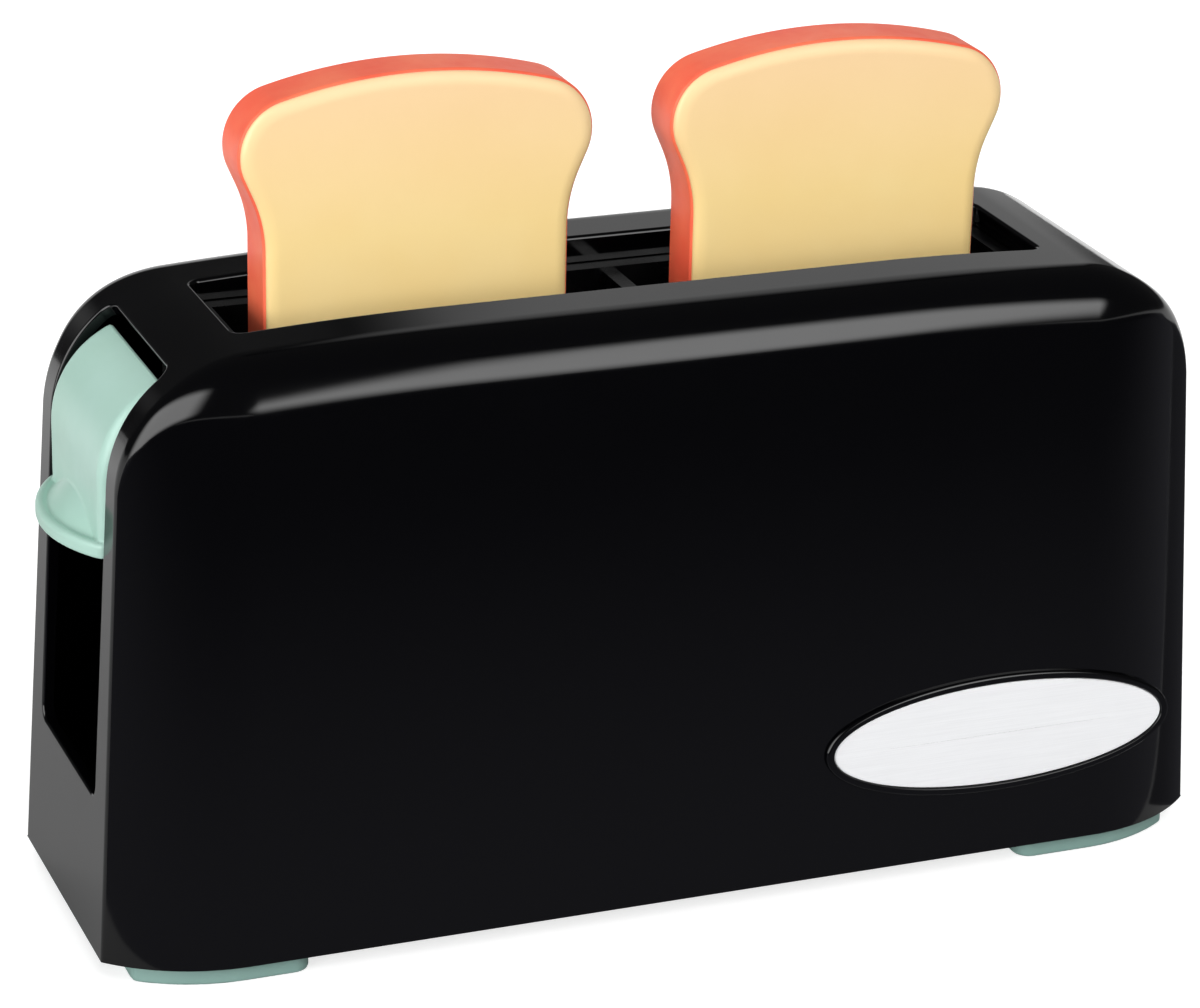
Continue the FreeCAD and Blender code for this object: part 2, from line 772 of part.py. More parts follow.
# ================================================================ carriage
def carriage():
    """Tray under both slices, sliding on the rods, with the plate that carries the lever."""
    low, high = cage_ends()
    x0 = low + tray_end_gap
    x1 = high - tray_end_gap
    half_y = mouth_half_y - tray_side_gap
    bottom = tray_top - tray_thickness
    tray = box(x0, x1, -half_y, half_y, bottom, tray_top)
    pieces = [tray]
    for sign in (-1, 1):
        edge_y = sorted((sign * half_y, sign * (half_y - tray_rim_width)))
        pieces.append(box(x0, x1, *edge_y, tray_top, tray_top + tray_rim_height))
        pieces.append(box(x0, x1, *edge_y, bottom - tray_rib_depth, bottom))
    plate_x = -lever_plate_x
    arm_bottom = tray_top - arm_depth
    pieces.append(box(plate_x, rod_x[1], -arm_half_width, arm_half_width, arm_bottom, bottom))
    pieces.append(box(plate_x, x0 + past, -arm_half_width, arm_half_width, bottom, tray_top))
    pieces.append(box(x1 - past, rod_x[1], -arm_half_width, arm_half_width, bottom, tray_top))
    pieces.append(box(plate_x, plate_x + lever_plate_thickness, -lever_plate_half_width,
                      lever_plate_half_width, arm_bottom, tray_top + lever_plate_rise))
    gusset = prism_y([(plate_x, tray_top), (rod_x[0] - hub_radius, tray_top),
                      (plate_x, tray_top + lever_plate_rise)], -gusset_half, gusset_half)
    pieces.append(gusset)
    for x in rod_x:
        pieces.append(post(x, 0.0, hub_bottom, tray_top, hub_radius))
    pieces.append(catch_nose())
    body = fused(pieces)
    for x in rod_x:
        body = body.cut(post(x, 0.0, 0, far, rod_radius + rod_running_gap))
    for sign in (-1, 1):
        body = body.cut(bar_along_x(plate_x - past, plate_x + lever_plate_thickness + past,
                                    sign * lever_screw_y, tray_top + lever_screw_rise, through_radius))
    return body


def catch_nose():
    """Wedge on the right hub that snaps under the catch spring's bump."""
    inner = rod_x[1]
    tip = rod_x[1] + hub_radius + nose_reach
    return prism_y([(inner, hub_bottom), (tip, hub_bottom + nose_height / 2),
                    (tip, hub_bottom + nose_height), (inner, hub_bottom + nose_height)],
                   -nose_half_width, nose_half_width)


# ================================================================ lever
def lever_profile(outer, inner):
    """Side view of the lever between two distances in from its outer face."""
    centre_x = -(lever_x - lever_arc_radius)
    high = backwards - lever_arc_angle
    middle = (backwards + high) / 2

    def arc(depth):
        points = [turned(a, lever_arc_radius - depth, centre_x, lever_arc_height)
                  for a in (backwards, middle, high)]
        return [V(x, 0, z) for x, z in points]

    out = arc(outer)
    back = arc(inner)
    foot_out = V(-lever_x + outer, 0, lever_bottom)
    foot_back = V(-lever_x + inner, 0, lever_bottom)
    edges = [
        Part.LineSegment(foot_out, out[0]).toShape(),
        Part.Arc(*out).toShape(),
        Part.LineSegment(out[2], back[2]).toShape(),
        Part.Arc(*back[::-1]).toShape(),
        Part.LineSegment(back[0], foot_back).toShape(),
        Part.LineSegment(foot_back, foot_out).toShape(),
    ]
    return Part.Face(Part.Wire(edges))


def lever_layer(outer, inner, y0, y1):
    """Lever profile swept between two Y values."""
    layer = lever_profile(outer, inner)
    layer.translate(V(0, y0, 0))
    return layer.extrude(V(0, y1 - y0, 0))


def finger_tab():
    """Scooped tab turned about an upright axis, trimmed to the lever's width."""
    low = lever_bottom
    lip_top = low + tab_lip_height
    scoop_top = low + tab_scoop_height
    root = tab_radius - tab_stand
    inner = root - lever_thickness
    lip_in = tab_radius - tab_lip_width
    section = [
        (inner, low), (tab_radius, low), (tab_radius, lip_top - tab_lip_edge),
        (tab_radius - tab_lip_edge, lip_top), (lip_in, lip_top), (root, scoop_top), (inner, scoop_top),
    ]
    corners = [V(radius, 0, z) for radius, z in section]
    half_turn = math.degrees(math.atan2(lever_half, inner)) + tab_turn_past
    face = Part.Face(Part.makePolygon(corners + corners[:1]))
    face.rotate(V(0, 0, 0), V(0, 0, 1), backwards - half_turn)
    tab = face.revolve(V(0, 0, 0), V(0, 0, 1), 2 * half_turn)
    pocket = post(0, 0, low - past, low + tab_pocket_depth, lip_in)
    pocket = pocket.cut(post(0, 0, low - 2 * past, low + tab_pocket_depth + past, root + tab_lip_width))
    tab = tab.cut(pocket)
    tab.translate(V(root - lever_x, 0, 0))
    return tab.common(box(-far, -lever_x + lever_thickness, -lever_half, lever_half, 0, far))


def lever():
    """Curved lever panel with side flanges, screw bosses and the finger tab."""
    half = lever_half
    panel = lever_layer(0.0, lever_thickness, -half, half)
    long_edges = []
    for edge in panel.Edges:
        middle = edge_midpoint(edge)
        straight = abs(middle.x + lever_x) < 1e-3
        reach = math.hypot(middle.x + lever_x - lever_arc_radius, middle.z - lever_arc_height)
        on_arc = middle.z > lever_arc_height and abs(reach - lever_arc_radius) < 1e-3
        if abs(abs(middle.y) - half) < 1e-6 and (straight or on_arc):
            long_edges.append(edge)
    panel = panel.makeChamfer(lever_edge, long_edges)
    depth = lever_thickness + lever_flange_depth
    flanges = []
    for sign in (-1, 1):
        sides = sorted((sign * half, sign * (half - lever_flange_thickness)))
        flanges.append(lever_layer(lever_thickness - lever_flange_sink, depth, *sides))
    bosses = []
    for sign in (-1, 1):
        y = sign * lever_screw_y
        z = tray_top + lever_screw_rise
        bosses.append(box(-lever_x + lever_thickness / 2, -lever_plate_x, y - lever_boss_half,
                          y + lever_boss_half, z - lever_boss_half, z + lever_boss_half))
    body = fused([panel] + flanges + bosses + [finger_tab()])
    for sign in (-1, 1):
        depth = lever_screw_length - lever_plate_thickness + screw_head_gap
        body = body.cut(bar_along_x(-lever_plate_x - depth, -lever_plate_x, sign * lever_screw_y,
                                    tray_top + lever_screw_rise, pilot_radius))
    return body


# ================================================================ catch spring
def catch_spring():
    """Bent steel leaf on the base plate that holds the carriage down."""
    x = catch_leaf_x()
    low = base_thickness + catch_pad
    nose_top = hub_bottom + nose_height - travel
    bump_low = nose_top + catch_bump_rise
    bump_mid = bump_low + catch_bump_half
    bump_high = bump_mid + catch_bump_half
    t = catch_thickness
    outline = [
        (x, low), (x, bump_low), (x - catch_bump, bump_mid), (x, bump_high),
        (x + catch_lead / 2, bump_high + catch_lead),
        (x + catch_lead / 2 + t, bump_high + catch_lead), (x + t, bump_high),
        (x + t - catch_bump, bump_mid), (x + t, bump_low), (x + t, low + t),
        (x + catch_foot, low + t), (x + catch_foot, low),
    ]
    leaf = prism_y(outline, -catch_half_width, catch_half_width)
    return leaf.cut(bar(x + catch_screw_back, 0.0, 0, low + past, through_radius))


# ================================================================ bread slices
def slice_outline(grow, y):
    """Outline of a bread slice about X = 0, widened by grow, in the plane at y."""
    half = slice_half + grow
    foot_z = slice_bottom + (slice_margin - grow)
    flare = slice_flare_radius - grow
    ear = ear_radius + grow
    flare_centre = half + flare
    crest = slice_top + grow
    lean = slice_flare_angle
    drop = slice_top - ear_height
    crest_radius = (ear_x ** 2 + drop ** 2 - ear_radius ** 2) / (2 * (drop - ear_radius))
    crest_radius += grow
    crest_angle = math.degrees(math.atan2(ear_height - (crest - crest_radius), ear_x))
    flare_arc = [turned(backwards - a, flare, flare_centre, slice_flare_start)
                 for a in (0, lean / 2, lean)]
    ear_arc = [turned(a, ear, ear_x, ear_height)
               for a in (-lean, (crest_angle - lean) / 2, crest_angle)]
    corner = slice_foot_radius
    foot_arc = [turned(a, corner, half - corner, foot_z + corner) for a in (-upright, -upright / 2, 0)]
    right = [V(px, y, pz) for px, pz in foot_arc + flare_arc + ear_arc]
    left = [V(-point.x, y, point.z) for point in right]
    edges = []
    for side in (right, left):
        edges.append(Part.Arc(*side[0:3]).toShape())
        edges.append(Part.LineSegment(side[2], side[3]).toShape())
        edges.append(Part.Arc(*side[3:6]).toShape())
        edges.append(Part.LineSegment(side[5], side[6]).toShape())
        edges.append(Part.Arc(*side[6:9]).toShape())
    edges.append(Part.Arc(right[8], V(0, y, crest), left[8]).toShape())
    edges.append(Part.LineSegment(left[0], right[0]).toShape())
    return Part.Wire(Part.__sortEdges__(edges))


def slice_layer(centre_x, grow, y0, y1):
    """Prism over the slice's outline between two Y values."""
    layer = Part.Face(slice_outline(grow, y0)).extrude(V(0, y1 - y0, 0))
    layer.translate(V(centre_x, 0, 0))
    return layer


def slice_pieces(name, centre_x):
    """Crust of one slice with a crumb panel on each face."""
    half = crust_thickness / 2
    return {
        name + "_crust": slice_layer(centre_x, slice_margin, -half, half),
        name + "_crumb_front": slice_layer(centre_x, 0.0, -half - crumb_thickness, -half),
        name + "_crumb_back": slice_layer(centre_x, 0.0, half, half + crumb_thickness),
    }


# ================================================================ assembly
def toaster():
    """Every piece by its node name."""
    pieces = {
        "outer_shell": outer_shell(),
        "badge_plate": badge_plate(),
        "base_plate": base_plate(),
        "left_foot": foot(-1, foot_length_left),
        "right_foot": foot(1, foot_length_right),
        "base_screws": screws(base_screw_places(), counterbore_depth, boss_floor + base_screw_length),
        "bread_cage": bread_cage(),
        "cage_screws": screws(cage_screw_places(), flange_bottom, cage_screw_length),
        "carriage": carriage(),
        "lever": lever(),
        "lever_screws": lever_screws(),
        "catch_spring": catch_spring(),
        "catch_screw": catch_screw(),
    }
    for side, x in zip(("left", "right"), rod_x):
        pieces["guide_rod_" + side] = guide_rod(x)
        pieces["stop_sleeve_" + side] = stop_sleeve(x)
    pieces["return_spring"] = return_spring(rod_x[0])
    for side, x in zip(("left", "right"), slice_x):
        pieces.update(slice_pieces("slice_" + side, x))
    return pieces


def export(pieces):
    """Lift every piece so that the feet stand on Z = 0, and write it out."""
    os.makedirs("parts", exist_ok=True)
    for name, shape in pieces.items():
        shape.translate(V(0, 0, foot_height))
        shape.exportStep("parts/" + name + ".step")
        kinds = [solid.isValid() for solid in shape.Solids]
        print(f"{name}: {len(kinds)} solid(s), valid {all(kinds)}, volume {shape.Volume:.0f}")


export(toaster())
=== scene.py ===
"""Looks of the toy toaster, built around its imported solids.

Lengths of the pieces are millimetres in the housing's own frame (Z = 0 at its lower edge) until a mesh is
made. The stage, lights and camera are in metres. Every new mesh carries normals worked out from its own
surface, so that gloss runs cleanly over it.
"""

import bpy
import json
import math
import numpy as np
from mathutils import Matrix, Quaternion, Vector


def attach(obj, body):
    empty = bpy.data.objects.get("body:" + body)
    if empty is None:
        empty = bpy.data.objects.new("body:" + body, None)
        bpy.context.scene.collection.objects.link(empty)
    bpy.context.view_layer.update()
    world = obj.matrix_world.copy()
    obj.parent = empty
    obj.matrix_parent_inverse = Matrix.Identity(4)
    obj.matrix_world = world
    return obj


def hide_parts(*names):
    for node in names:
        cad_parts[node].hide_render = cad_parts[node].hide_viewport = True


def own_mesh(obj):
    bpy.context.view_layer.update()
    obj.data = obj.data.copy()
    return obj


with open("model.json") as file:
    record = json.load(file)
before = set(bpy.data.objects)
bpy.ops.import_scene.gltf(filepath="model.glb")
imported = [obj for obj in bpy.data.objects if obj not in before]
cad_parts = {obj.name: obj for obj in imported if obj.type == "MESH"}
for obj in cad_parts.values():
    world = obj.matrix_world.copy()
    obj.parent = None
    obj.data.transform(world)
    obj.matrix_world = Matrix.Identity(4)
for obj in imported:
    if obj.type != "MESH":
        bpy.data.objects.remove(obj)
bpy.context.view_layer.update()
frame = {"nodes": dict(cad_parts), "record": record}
nodes = frame["nodes"]
record = frame["record"]
LIFT = 3.5                                   # height of the feet under the housing
TINY = 1e-9                                  # slack of comparisons
WALL = 2.0                                   # thickness of the housing


# ================================================================ materials
def srgb(r, g, b):
    """sRGB 0..255 to the linear colour that a shader takes."""
    def one(v):
        v /= 255.0
        return v / 12.92 if v <= 0.04045 else ((v + 0.055) / 1.055) ** 2.4
    return (one(r), one(g), one(b), 1.0)


class Mat:
    """A Principled material with small helpers for its procedural parts."""

    def __init__(self, name, color, rough, ior=1.5, metal=0.0, **fixed):
        self.mat = bpy.data.materials.new(name)
        self.mat.use_nodes = True
        self.tree = self.mat.node_tree
        self.bsdf = self.tree.nodes["Principled BSDF"]
        self.bsdf.inputs["Base Color"].default_value = color
        self.bsdf.inputs["Roughness"].default_value = rough
        self.bsdf.inputs["IOR"].default_value = ior
        self.bsdf.inputs["Metallic"].default_value = metal
        for key, value in fixed.items():
            self.bsdf.inputs[key.replace("_", " ")].default_value = value
        self.coords = self.tree.nodes.new("ShaderNodeTexCoord").outputs["Object"]
        self.normal = None

    def node(self, kind, **props):
        made = self.tree.nodes.new(kind)
        for key, value in props.items():
            setattr(made, key, value)
        return made

    def link(self, a, b):
        self.tree.links.new(a, b)

    def noise(self, per_metre, detail=3.0, stretch=(1.0, 1.0, 1.0), rough=0.55):
        mapping = self.node("ShaderNodeMapping")
        mapping.inputs["Scale"].default_value = stretch
        self.link(self.coords, mapping.inputs["Vector"])
        tex = self.node("ShaderNodeTexNoise")
        tex.inputs["Scale"].default_value = per_metre
        tex.inputs["Detail"].default_value = detail
        tex.inputs["Roughness"].default_value = rough
        self.link(mapping.outputs["Vector"], tex.inputs["Vector"])
        return tex.outputs["Fac"]

    def remap(self, value, low, high, to_low, to_high):
        ramp = self.node("ShaderNodeMapRange")
        for key, number in (("From Min", low), ("From Max", high), ("To Min", to_low), ("To Max", to_high)):
            ramp.inputs[key].default_value = number
        self.link(value, ramp.inputs["Value"])
        return ramp.outputs["Result"]

    def tint(self, value, first, second):
        """Base colour from first to second, each a colour or the result of an earlier tint."""
        mix = self.node("ShaderNodeMix", data_type="RGBA")
        for socket, color in ((mix.inputs[6], first), (mix.inputs[7], second)):
            if isinstance(color, tuple):
                socket.default_value = color
            else:
                self.link(color, socket)
        self.link(value, mix.inputs[0])
        self.link(mix.outputs[2], self.bsdf.inputs["Base Color"])
        return mix.outputs[2]

    def height(self, low, high):
        """0 at the height low and 1 at high, in metres in the piece's own frame."""
        split = self.node("ShaderNodeSeparateXYZ")
        self.link(self.coords, split.inputs[0])
        return self.remap(split.outputs[2], low, high, 0, 1)

    def roughness(self, value):
        self.link(value, self.bsdf.inputs["Roughness"])

    def bump(self, height, strength, distance):
        made = self.node("ShaderNodeBump")
        made.inputs["Strength"].default_value = strength
        made.inputs["Distance"].default_value = distance
        self.link(height, made.inputs["Height"])
        if self.normal is not None:
            self.link(self.normal, made.inputs["Normal"])
        self.normal = made.outputs["Normal"]
        self.link(self.normal, self.bsdf.inputs["Normal"])


def make_materials():
    """Materials by slot. Noise scales are per metre and bump distances in metres."""
    mats = {}
    black = Mat("housing_black", (0.0010, 0.0010, 0.0014, 1), 0.10, 1.49)
    black.roughness(black.remap(black.noise(60, 4), 0.3, 0.7, 0.085, 0.125))
    black.bump(black.noise(90, 1.0), 0.10, 0.00006)
    black.bump(black.noise(3800, 2.0), 0.05, 0.00001)
    mats["housing_black"] = black.mat

    inner = Mat("inner_black", (0.0012, 0.0012, 0.0015, 1), 0.28, 1.42)
    inner.roughness(inner.remap(inner.noise(120, 4), 0.3, 0.7, 0.2, 0.36))
    inner.bump(inner.noise(2500, 3.0), 0.25, 0.00004)
    mats["inner_black"] = inner.mat

    # The second mint is a darker copy of the first, for the feet: painted shade where the housing overhangs
    # them.
    for name, dark, light, smooth, rough in (
            ("mint", srgb(166, 202, 188), srgb(171, 206, 194), 0.29, 0.40),
            ("mint_painted_shade", srgb(124, 156, 149), srgb(133, 165, 157), 0.34, 0.46)):
        mint = Mat(name, dark, rough, 1.5)
        mint.tint(mint.remap(mint.noise(45, 3), 0.35, 0.65, 0, 1), dark, light)
        mint.roughness(mint.remap(mint.noise(160, 4), 0.3, 0.7, smooth, rough))
        mint.bump(mint.noise(1800, 2.0), 0.12, 0.00003)
        mats[name] = mint.mat

    badge = Mat("badge_silver", (0.86, 0.87, 0.885, 1), 0.34, 1.5, 0.12, Anisotropic=0.5)
    streak = badge.noise(6500, 3.0, (0.012, 1.0, 1.0), 0.6)
    badge.roughness(badge.remap(streak, 0.3, 0.7, 0.28, 0.42))
    badge.tint(badge.remap(streak, 0.35, 0.65, 0, 1), (0.93, 0.935, 0.95, 1), (0.98, 0.985, 1.0, 1))
    badge.bump(streak, 0.10, 0.00001)
    mats["badge_silver"] = badge.mat

    crust = Mat("crust", srgb(249, 106, 76), 0.40, 1.5)
    crust.tint(crust.remap(crust.noise(70, 4), 0.4, 0.62, 0, 1), srgb(248, 100, 70), srgb(252, 118, 82))
    crust.roughness(crust.remap(crust.noise(220, 4), 0.3, 0.7, 0.36, 0.5))
    crust.bump(crust.noise(900, 3.0), 0.18, 0.00006)
    mats["crust"] = crust.mat

    crumb = Mat("crumb", srgb(247, 216, 150), 0.38, 1.5)
    blotch = crumb.tint(crumb.remap(crumb.noise(28, 3), 0.38, 0.62, 0, 1),
                        srgb(247, 214, 143), srgb(249, 219, 152))
    crumb.tint(crumb.height(0.118, 0.147), blotch, srgb(247, 210, 163))
    crumb.roughness(crumb.remap(crumb.noise(150, 4), 0.3, 0.7, 0.33, 0.45))
    crumb.bump(crumb.noise(60, 2.0), 0.08, 0.0001)
    crumb.bump(crumb.noise(1500, 2.0), 0.10, 0.00003)
    mats["crumb"] = crumb.mat

    steel = Mat("steel", (0.56, 0.56, 0.55, 1), 0.26, 1.5, 1.0)
    lines = steel.noise(1500, 3.0, (1.0, 1.0, 0.04), 0.6)
    steel.roughness(steel.remap(lines, 0.3, 0.7, 0.18, 0.36))
    steel.bump(lines, 0.2, 0.00002)
    mats["steel"] = steel.mat

    zinc = Mat("zinc_screw", (0.60, 0.60, 0.57, 1), 0.32, 1.5, 1.0)
    zinc.roughness(zinc.remap(zinc.noise(900, 4), 0.3, 0.7, 0.24, 0.42))
    zinc.tint(zinc.remap(zinc.noise(400, 3), 0.35, 0.65, 0, 1),
              (0.56, 0.56, 0.53, 1), (0.66, 0.65, 0.60, 1))
    mats["zinc_screw"] = zinc.mat

    rubber = Mat("bumper_rubber", (0.022, 0.022, 0.022, 1), 0.7, 1.5)
    rubber.roughness(rubber.remap(rubber.noise(300, 4), 0.3, 0.7, 0.6, 0.82))
    rubber.bump(rubber.noise(1600, 3.0), 0.3, 0.00005)
    mats["bumper_rubber"] = rubber.mat
    return mats


MATS = make_materials()


# ================================================================ mesh builder
class Skin:
    """Patches of vertices with their own normals, gathered into one smooth mesh."""

    def __init__(self):
        self.co, self.no, self.quads, self.count = [], [], [], 0

    def grid(self, points, normals, close=False):
        """A patch of rows x columns points. With close, the last column joins the first."""
        points = np.asarray(points, float)
        normals = np.asarray(normals, float)
        rows, cols = points.shape[:2]
        index = np.arange(rows * cols).reshape(rows, cols)
        if close:
            index = np.hstack([index, index[:, :1]])
        a, b = index[:-1, :-1].ravel(), index[:-1, 1:].ravel()
        c, d = index[1:, 1:].ravel(), index[1:, :-1].ravel()
        self.add(points.reshape(-1, 3), normals.reshape(-1, 3), np.stack([a, b, c, d], 1))

    def add(self, points, normals, quads):
        """Takes in quads of a patch, each turned to face the way its normals do."""
        flat = np.cross(points[quads[:, 2]] - points[quads[:, 0]],
                        points[quads[:, 3]] - points[quads[:, 1]])
        wanted = normals[quads].sum(1)
        wrong = (flat * wanted).sum(1) < 0
        quads = np.where(wrong[:, None], quads[:, ::-1], quads)
        keep = np.linalg.norm(flat, axis=1) > TINY
        self.co.append(points)
        self.no.append(normals)
        self.quads.append(quads[keep] + self.count)
        self.count += len(points)

    def build(self, name, slot, body, replaced=()):
        """Makes the object, in metres above the floor that the feet stand on."""
        co = np.concatenate(self.co)
        no = np.concatenate(self.no)
        no = no / np.maximum(np.linalg.norm(no, axis=1, keepdims=True), 1e-12)
        quads = np.concatenate(self.quads)
        co = (co + np.array([0.0, 0.0, LIFT])) / 1000.0
        faces = [tuple(dict.fromkeys(q)) for q in quads.tolist()]
        mesh = bpy.data.meshes.new(name)
        mesh.from_pydata(co.tolist(), [], [f for f in faces if len(f) > 2])
        mesh.update()
        mesh.shade_smooth()
        mesh.normals_split_custom_set_from_vertices(no.tolist())
        return place(bpy.data.objects.new(name, mesh), slot, body, replaced)


def place(obj, slot, body, replaced=()):
    """Gives an object its material and body, and hides the solids that it stands for."""
    if obj.name not in bpy.context.scene.collection.objects:
        bpy.context.scene.collection.objects.link(obj)
    obj.data.materials.clear()
    obj.data.materials.append(MATS[slot])
    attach(obj, body)
    if replaced:
        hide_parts(*replaced)
    return obj


# ================================================================ outer form of the housing
HALF_L, HALF_W, HIGH = 100.0, 34.2, 103.9    # halves at the lower edge, height of the level middle
END_DRAFT, SIDE_DRAFT = 0.055, 0.0368        # lean per millimetre of height
CORNER_X, CORNER_R = 77.0, 33.0              # start and radius of the plan corner
ARCH_R, SHOULDER_R, SHOULDER_X = 23.0, 540.0, 38.0
R_END, R_BLEND, R_TOP, BLEND = 1.4, 4.0, 9.0, 30.0   # rounds at the end, at BLEND degrees and on the top
R_LEAST = 0.5                                # round left on the inside skin
END_SLANT, SIDE_SLANT = math.hypot(1, END_DRAFT), math.hypot(1, SIDE_DRAFT)

# Each plan corner is a leaning cylinder: its axis, and a point on it.
CORNER_AXIS = np.array([-SIDE_DRAFT, -SIDE_DRAFT, 1.0])
CORNER_AXIS /= np.linalg.norm(CORNER_AXIS)
CORNER_START = np.array([CORNER_X, HALF_W, 0.0])
CORNER_START -= np.array([0, 1 / SIDE_SLANT, SIDE_DRAFT / SIDE_SLANT]) * CORNER_R


def arch():
    """Centre of the arch arc and the angles where it leaves the end line and meets the shoulder."""
    sz = HIGH - SHOULDER_R
    gap = SHOULDER_R - ARCH_R
    reach = HALF_L - ARCH_R * END_SLANT - END_DRAFT * sz - SHOULDER_X
    root = math.sqrt((reach * END_DRAFT) ** 2 - END_SLANT ** 2 * (reach ** 2 - gap ** 2))
    rise = (reach * END_DRAFT + root) / END_SLANT ** 2
    cx, cz = SHOULDER_X + reach - END_DRAFT * rise, sz + rise
    low = math.atan(END_DRAFT)
    high = math.atan2(cz - sz, cx - SHOULDER_X)
    return cx, cz, low, high


CX, CZ, LOW, TOP = arch()
LEN_END = math.hypot(CX + ARCH_R * math.cos(LOW) - HALF_L, CZ + ARCH_R * math.sin(LOW))
LEN_ARCH = ARCH_R * (TOP - LOW)
LEN_SHOULDER = SHOULDER_R * (math.pi / 2 - TOP)
HALF_S = LEN_END + LEN_ARCH + LEN_SHOULDER + SHOULDER_X


def profile(s):
    """Side view of the form at arc length s from the left end's foot: x, z, normal x, normal z, round."""
    s = np.asarray(s, float)
    left = s <= HALF_S
    t = np.where(left, s, 2 * HALF_S - s)
    end = t <= LEN_END
    t1 = t - LEN_END
    on_arch = ~end & (t1 <= LEN_ARCH)
    t2 = t1 - LEN_ARCH
    on_shoulder = ~end & ~on_arch & (t2 <= LEN_SHOULDER)
    t3 = t2 - LEN_SHOULDER
    where = [end, on_arch, on_shoulder]
    angle = np.select(where, [LOW, LOW + t1 / ARCH_R, TOP + t2 / SHOULDER_R], math.pi / 2)
    x = np.select(where, [HALF_L - END_DRAFT * t / END_SLANT, CX + ARCH_R * np.cos(angle),
                          SHOULDER_X + SHOULDER_R * np.cos(angle)], SHOULDER_X - t3)
    z = np.select(where, [t / END_SLANT, CZ + ARCH_R * np.sin(angle),
                          HIGH - SHOULDER_R + SHOULDER_R * np.sin(angle)], HIGH)
    deg = np.degrees(angle)
    k1 = np.clip((deg - math.degrees(LOW)) / (BLEND - math.degrees(LOW)), 0, 1)
    k2 = np.clip((deg - BLEND) / (math.degrees(TOP) - BLEND), 0, 1)
    r = R_END + (R_BLEND - R_END) * k1 + (R_TOP - R_BLEND) * (k2 * k2 * (3 - 2 * k2))
    sign = np.where(left, -1.0, 1.0)
    return sign * x, z, sign * np.cos(angle), np.sin(angle), r


def side(x, z, inset=0.0):
    """Y of the back long side at (x, z), moved in by inset, with its outward normal."""
    x, z = np.asarray(x, float), np.asarray(z, float)
    axis, start = CORNER_AXIS, CORNER_START
    sign = np.where(x < 0, -1.0, 1.0)
    ax = np.abs(x)
    y = HALF_W - SIDE_DRAFT * z - inset * SIDE_SLANT
    n = np.stack([0 * x, 0 * x + 1 / SIDE_SLANT, 0 * x + SIDE_DRAFT / SIDE_SLANT], -1)
    a, c = ax - start[0], z - start[2]
    k = a * axis[0] + c * axis[2]
    rho = CORNER_R - inset
    qa = 1 - axis[1] ** 2
    qb = -2 * axis[1] * k
    qc = a * a + c * c - k * k - rho * rho
    root = np.sqrt(np.maximum(qb * qb - 4 * qa * qc, 0))
    yc = (-qb + root) / (2 * qa)
    q = np.stack([a, yc, c], -1)
    perp = q - (q @ axis)[..., None] * axis
    length = np.linalg.norm(perp, axis=-1, keepdims=True)
    nc = perp / np.maximum(length, TINY)
    corner = ax > CORNER_X - SIDE_DRAFT * z
    y = np.where(corner, yc + start[1], y)
    n = np.where(corner[..., None], nc, n)
    n = n * np.stack([sign, 0 * sign + 1, 0 * sign + 1], -1)
    return y, n


PANEL_Y = 20.0                               # half width of the level strip that holds the two openings
MARGIN = 3.0                                 # strip kept round each opening, along the form
SLOT = dict(half=17.3, low=26.0, top_x=84.8, corner=2.6, edge=0.5)
MOUTH = dict(x0=-72.8, x1=70.6, half=13.5, drop=4.6, corner=2.0, edge=0.7, collar=1.6)


def s_at_x_left(x):
    """Arc length on the left half where the form reaches -x."""
    grid = np.linspace(0, HALF_S, 20001)
    px = -profile(grid)[0]
    return float(np.interp(-x, -px, grid))


S_SLOT = (SLOT["low"] * END_SLANT, s_at_x_left(SLOT["top_x"]))
S_MOUTH = (s_at_x_left(-MOUTH["x0"]), 2 * HALF_S - s_at_x_left(MOUTH["x1"]))


def stations():
    """Arc lengths of the rows, close together on the arches and at the ends of the openings."""
    coarse, last = 1.6, 2 * HALF_S
    parts = [(0.0, coarse), (S_SLOT[0] - MARGIN, 0.6), (S_SLOT[0] + 3, coarse), (LEN_END, 0.55),
             (S_SLOT[1] - 1.5, 0.6), (S_SLOT[1] + MARGIN, 0.9), (S_MOUTH[0] - MARGIN, 0.7),
             (S_MOUTH[0] + 2, coarse), (S_MOUTH[1] - 2, 0.7), (S_MOUTH[1] + MARGIN, coarse),
             (last - LEN_END - LEN_ARCH, 0.6), (last - LEN_END, coarse), (last, coarse)]
    rows = []
    for (start, step), (end, _) in zip(parts, parts[1:]):
        n = max(2, int(round((end - start) / step)))
        rows += list(np.linspace(start, end, n + 1)[:-1])
    return np.array(rows + [last])


ROWS = stations()


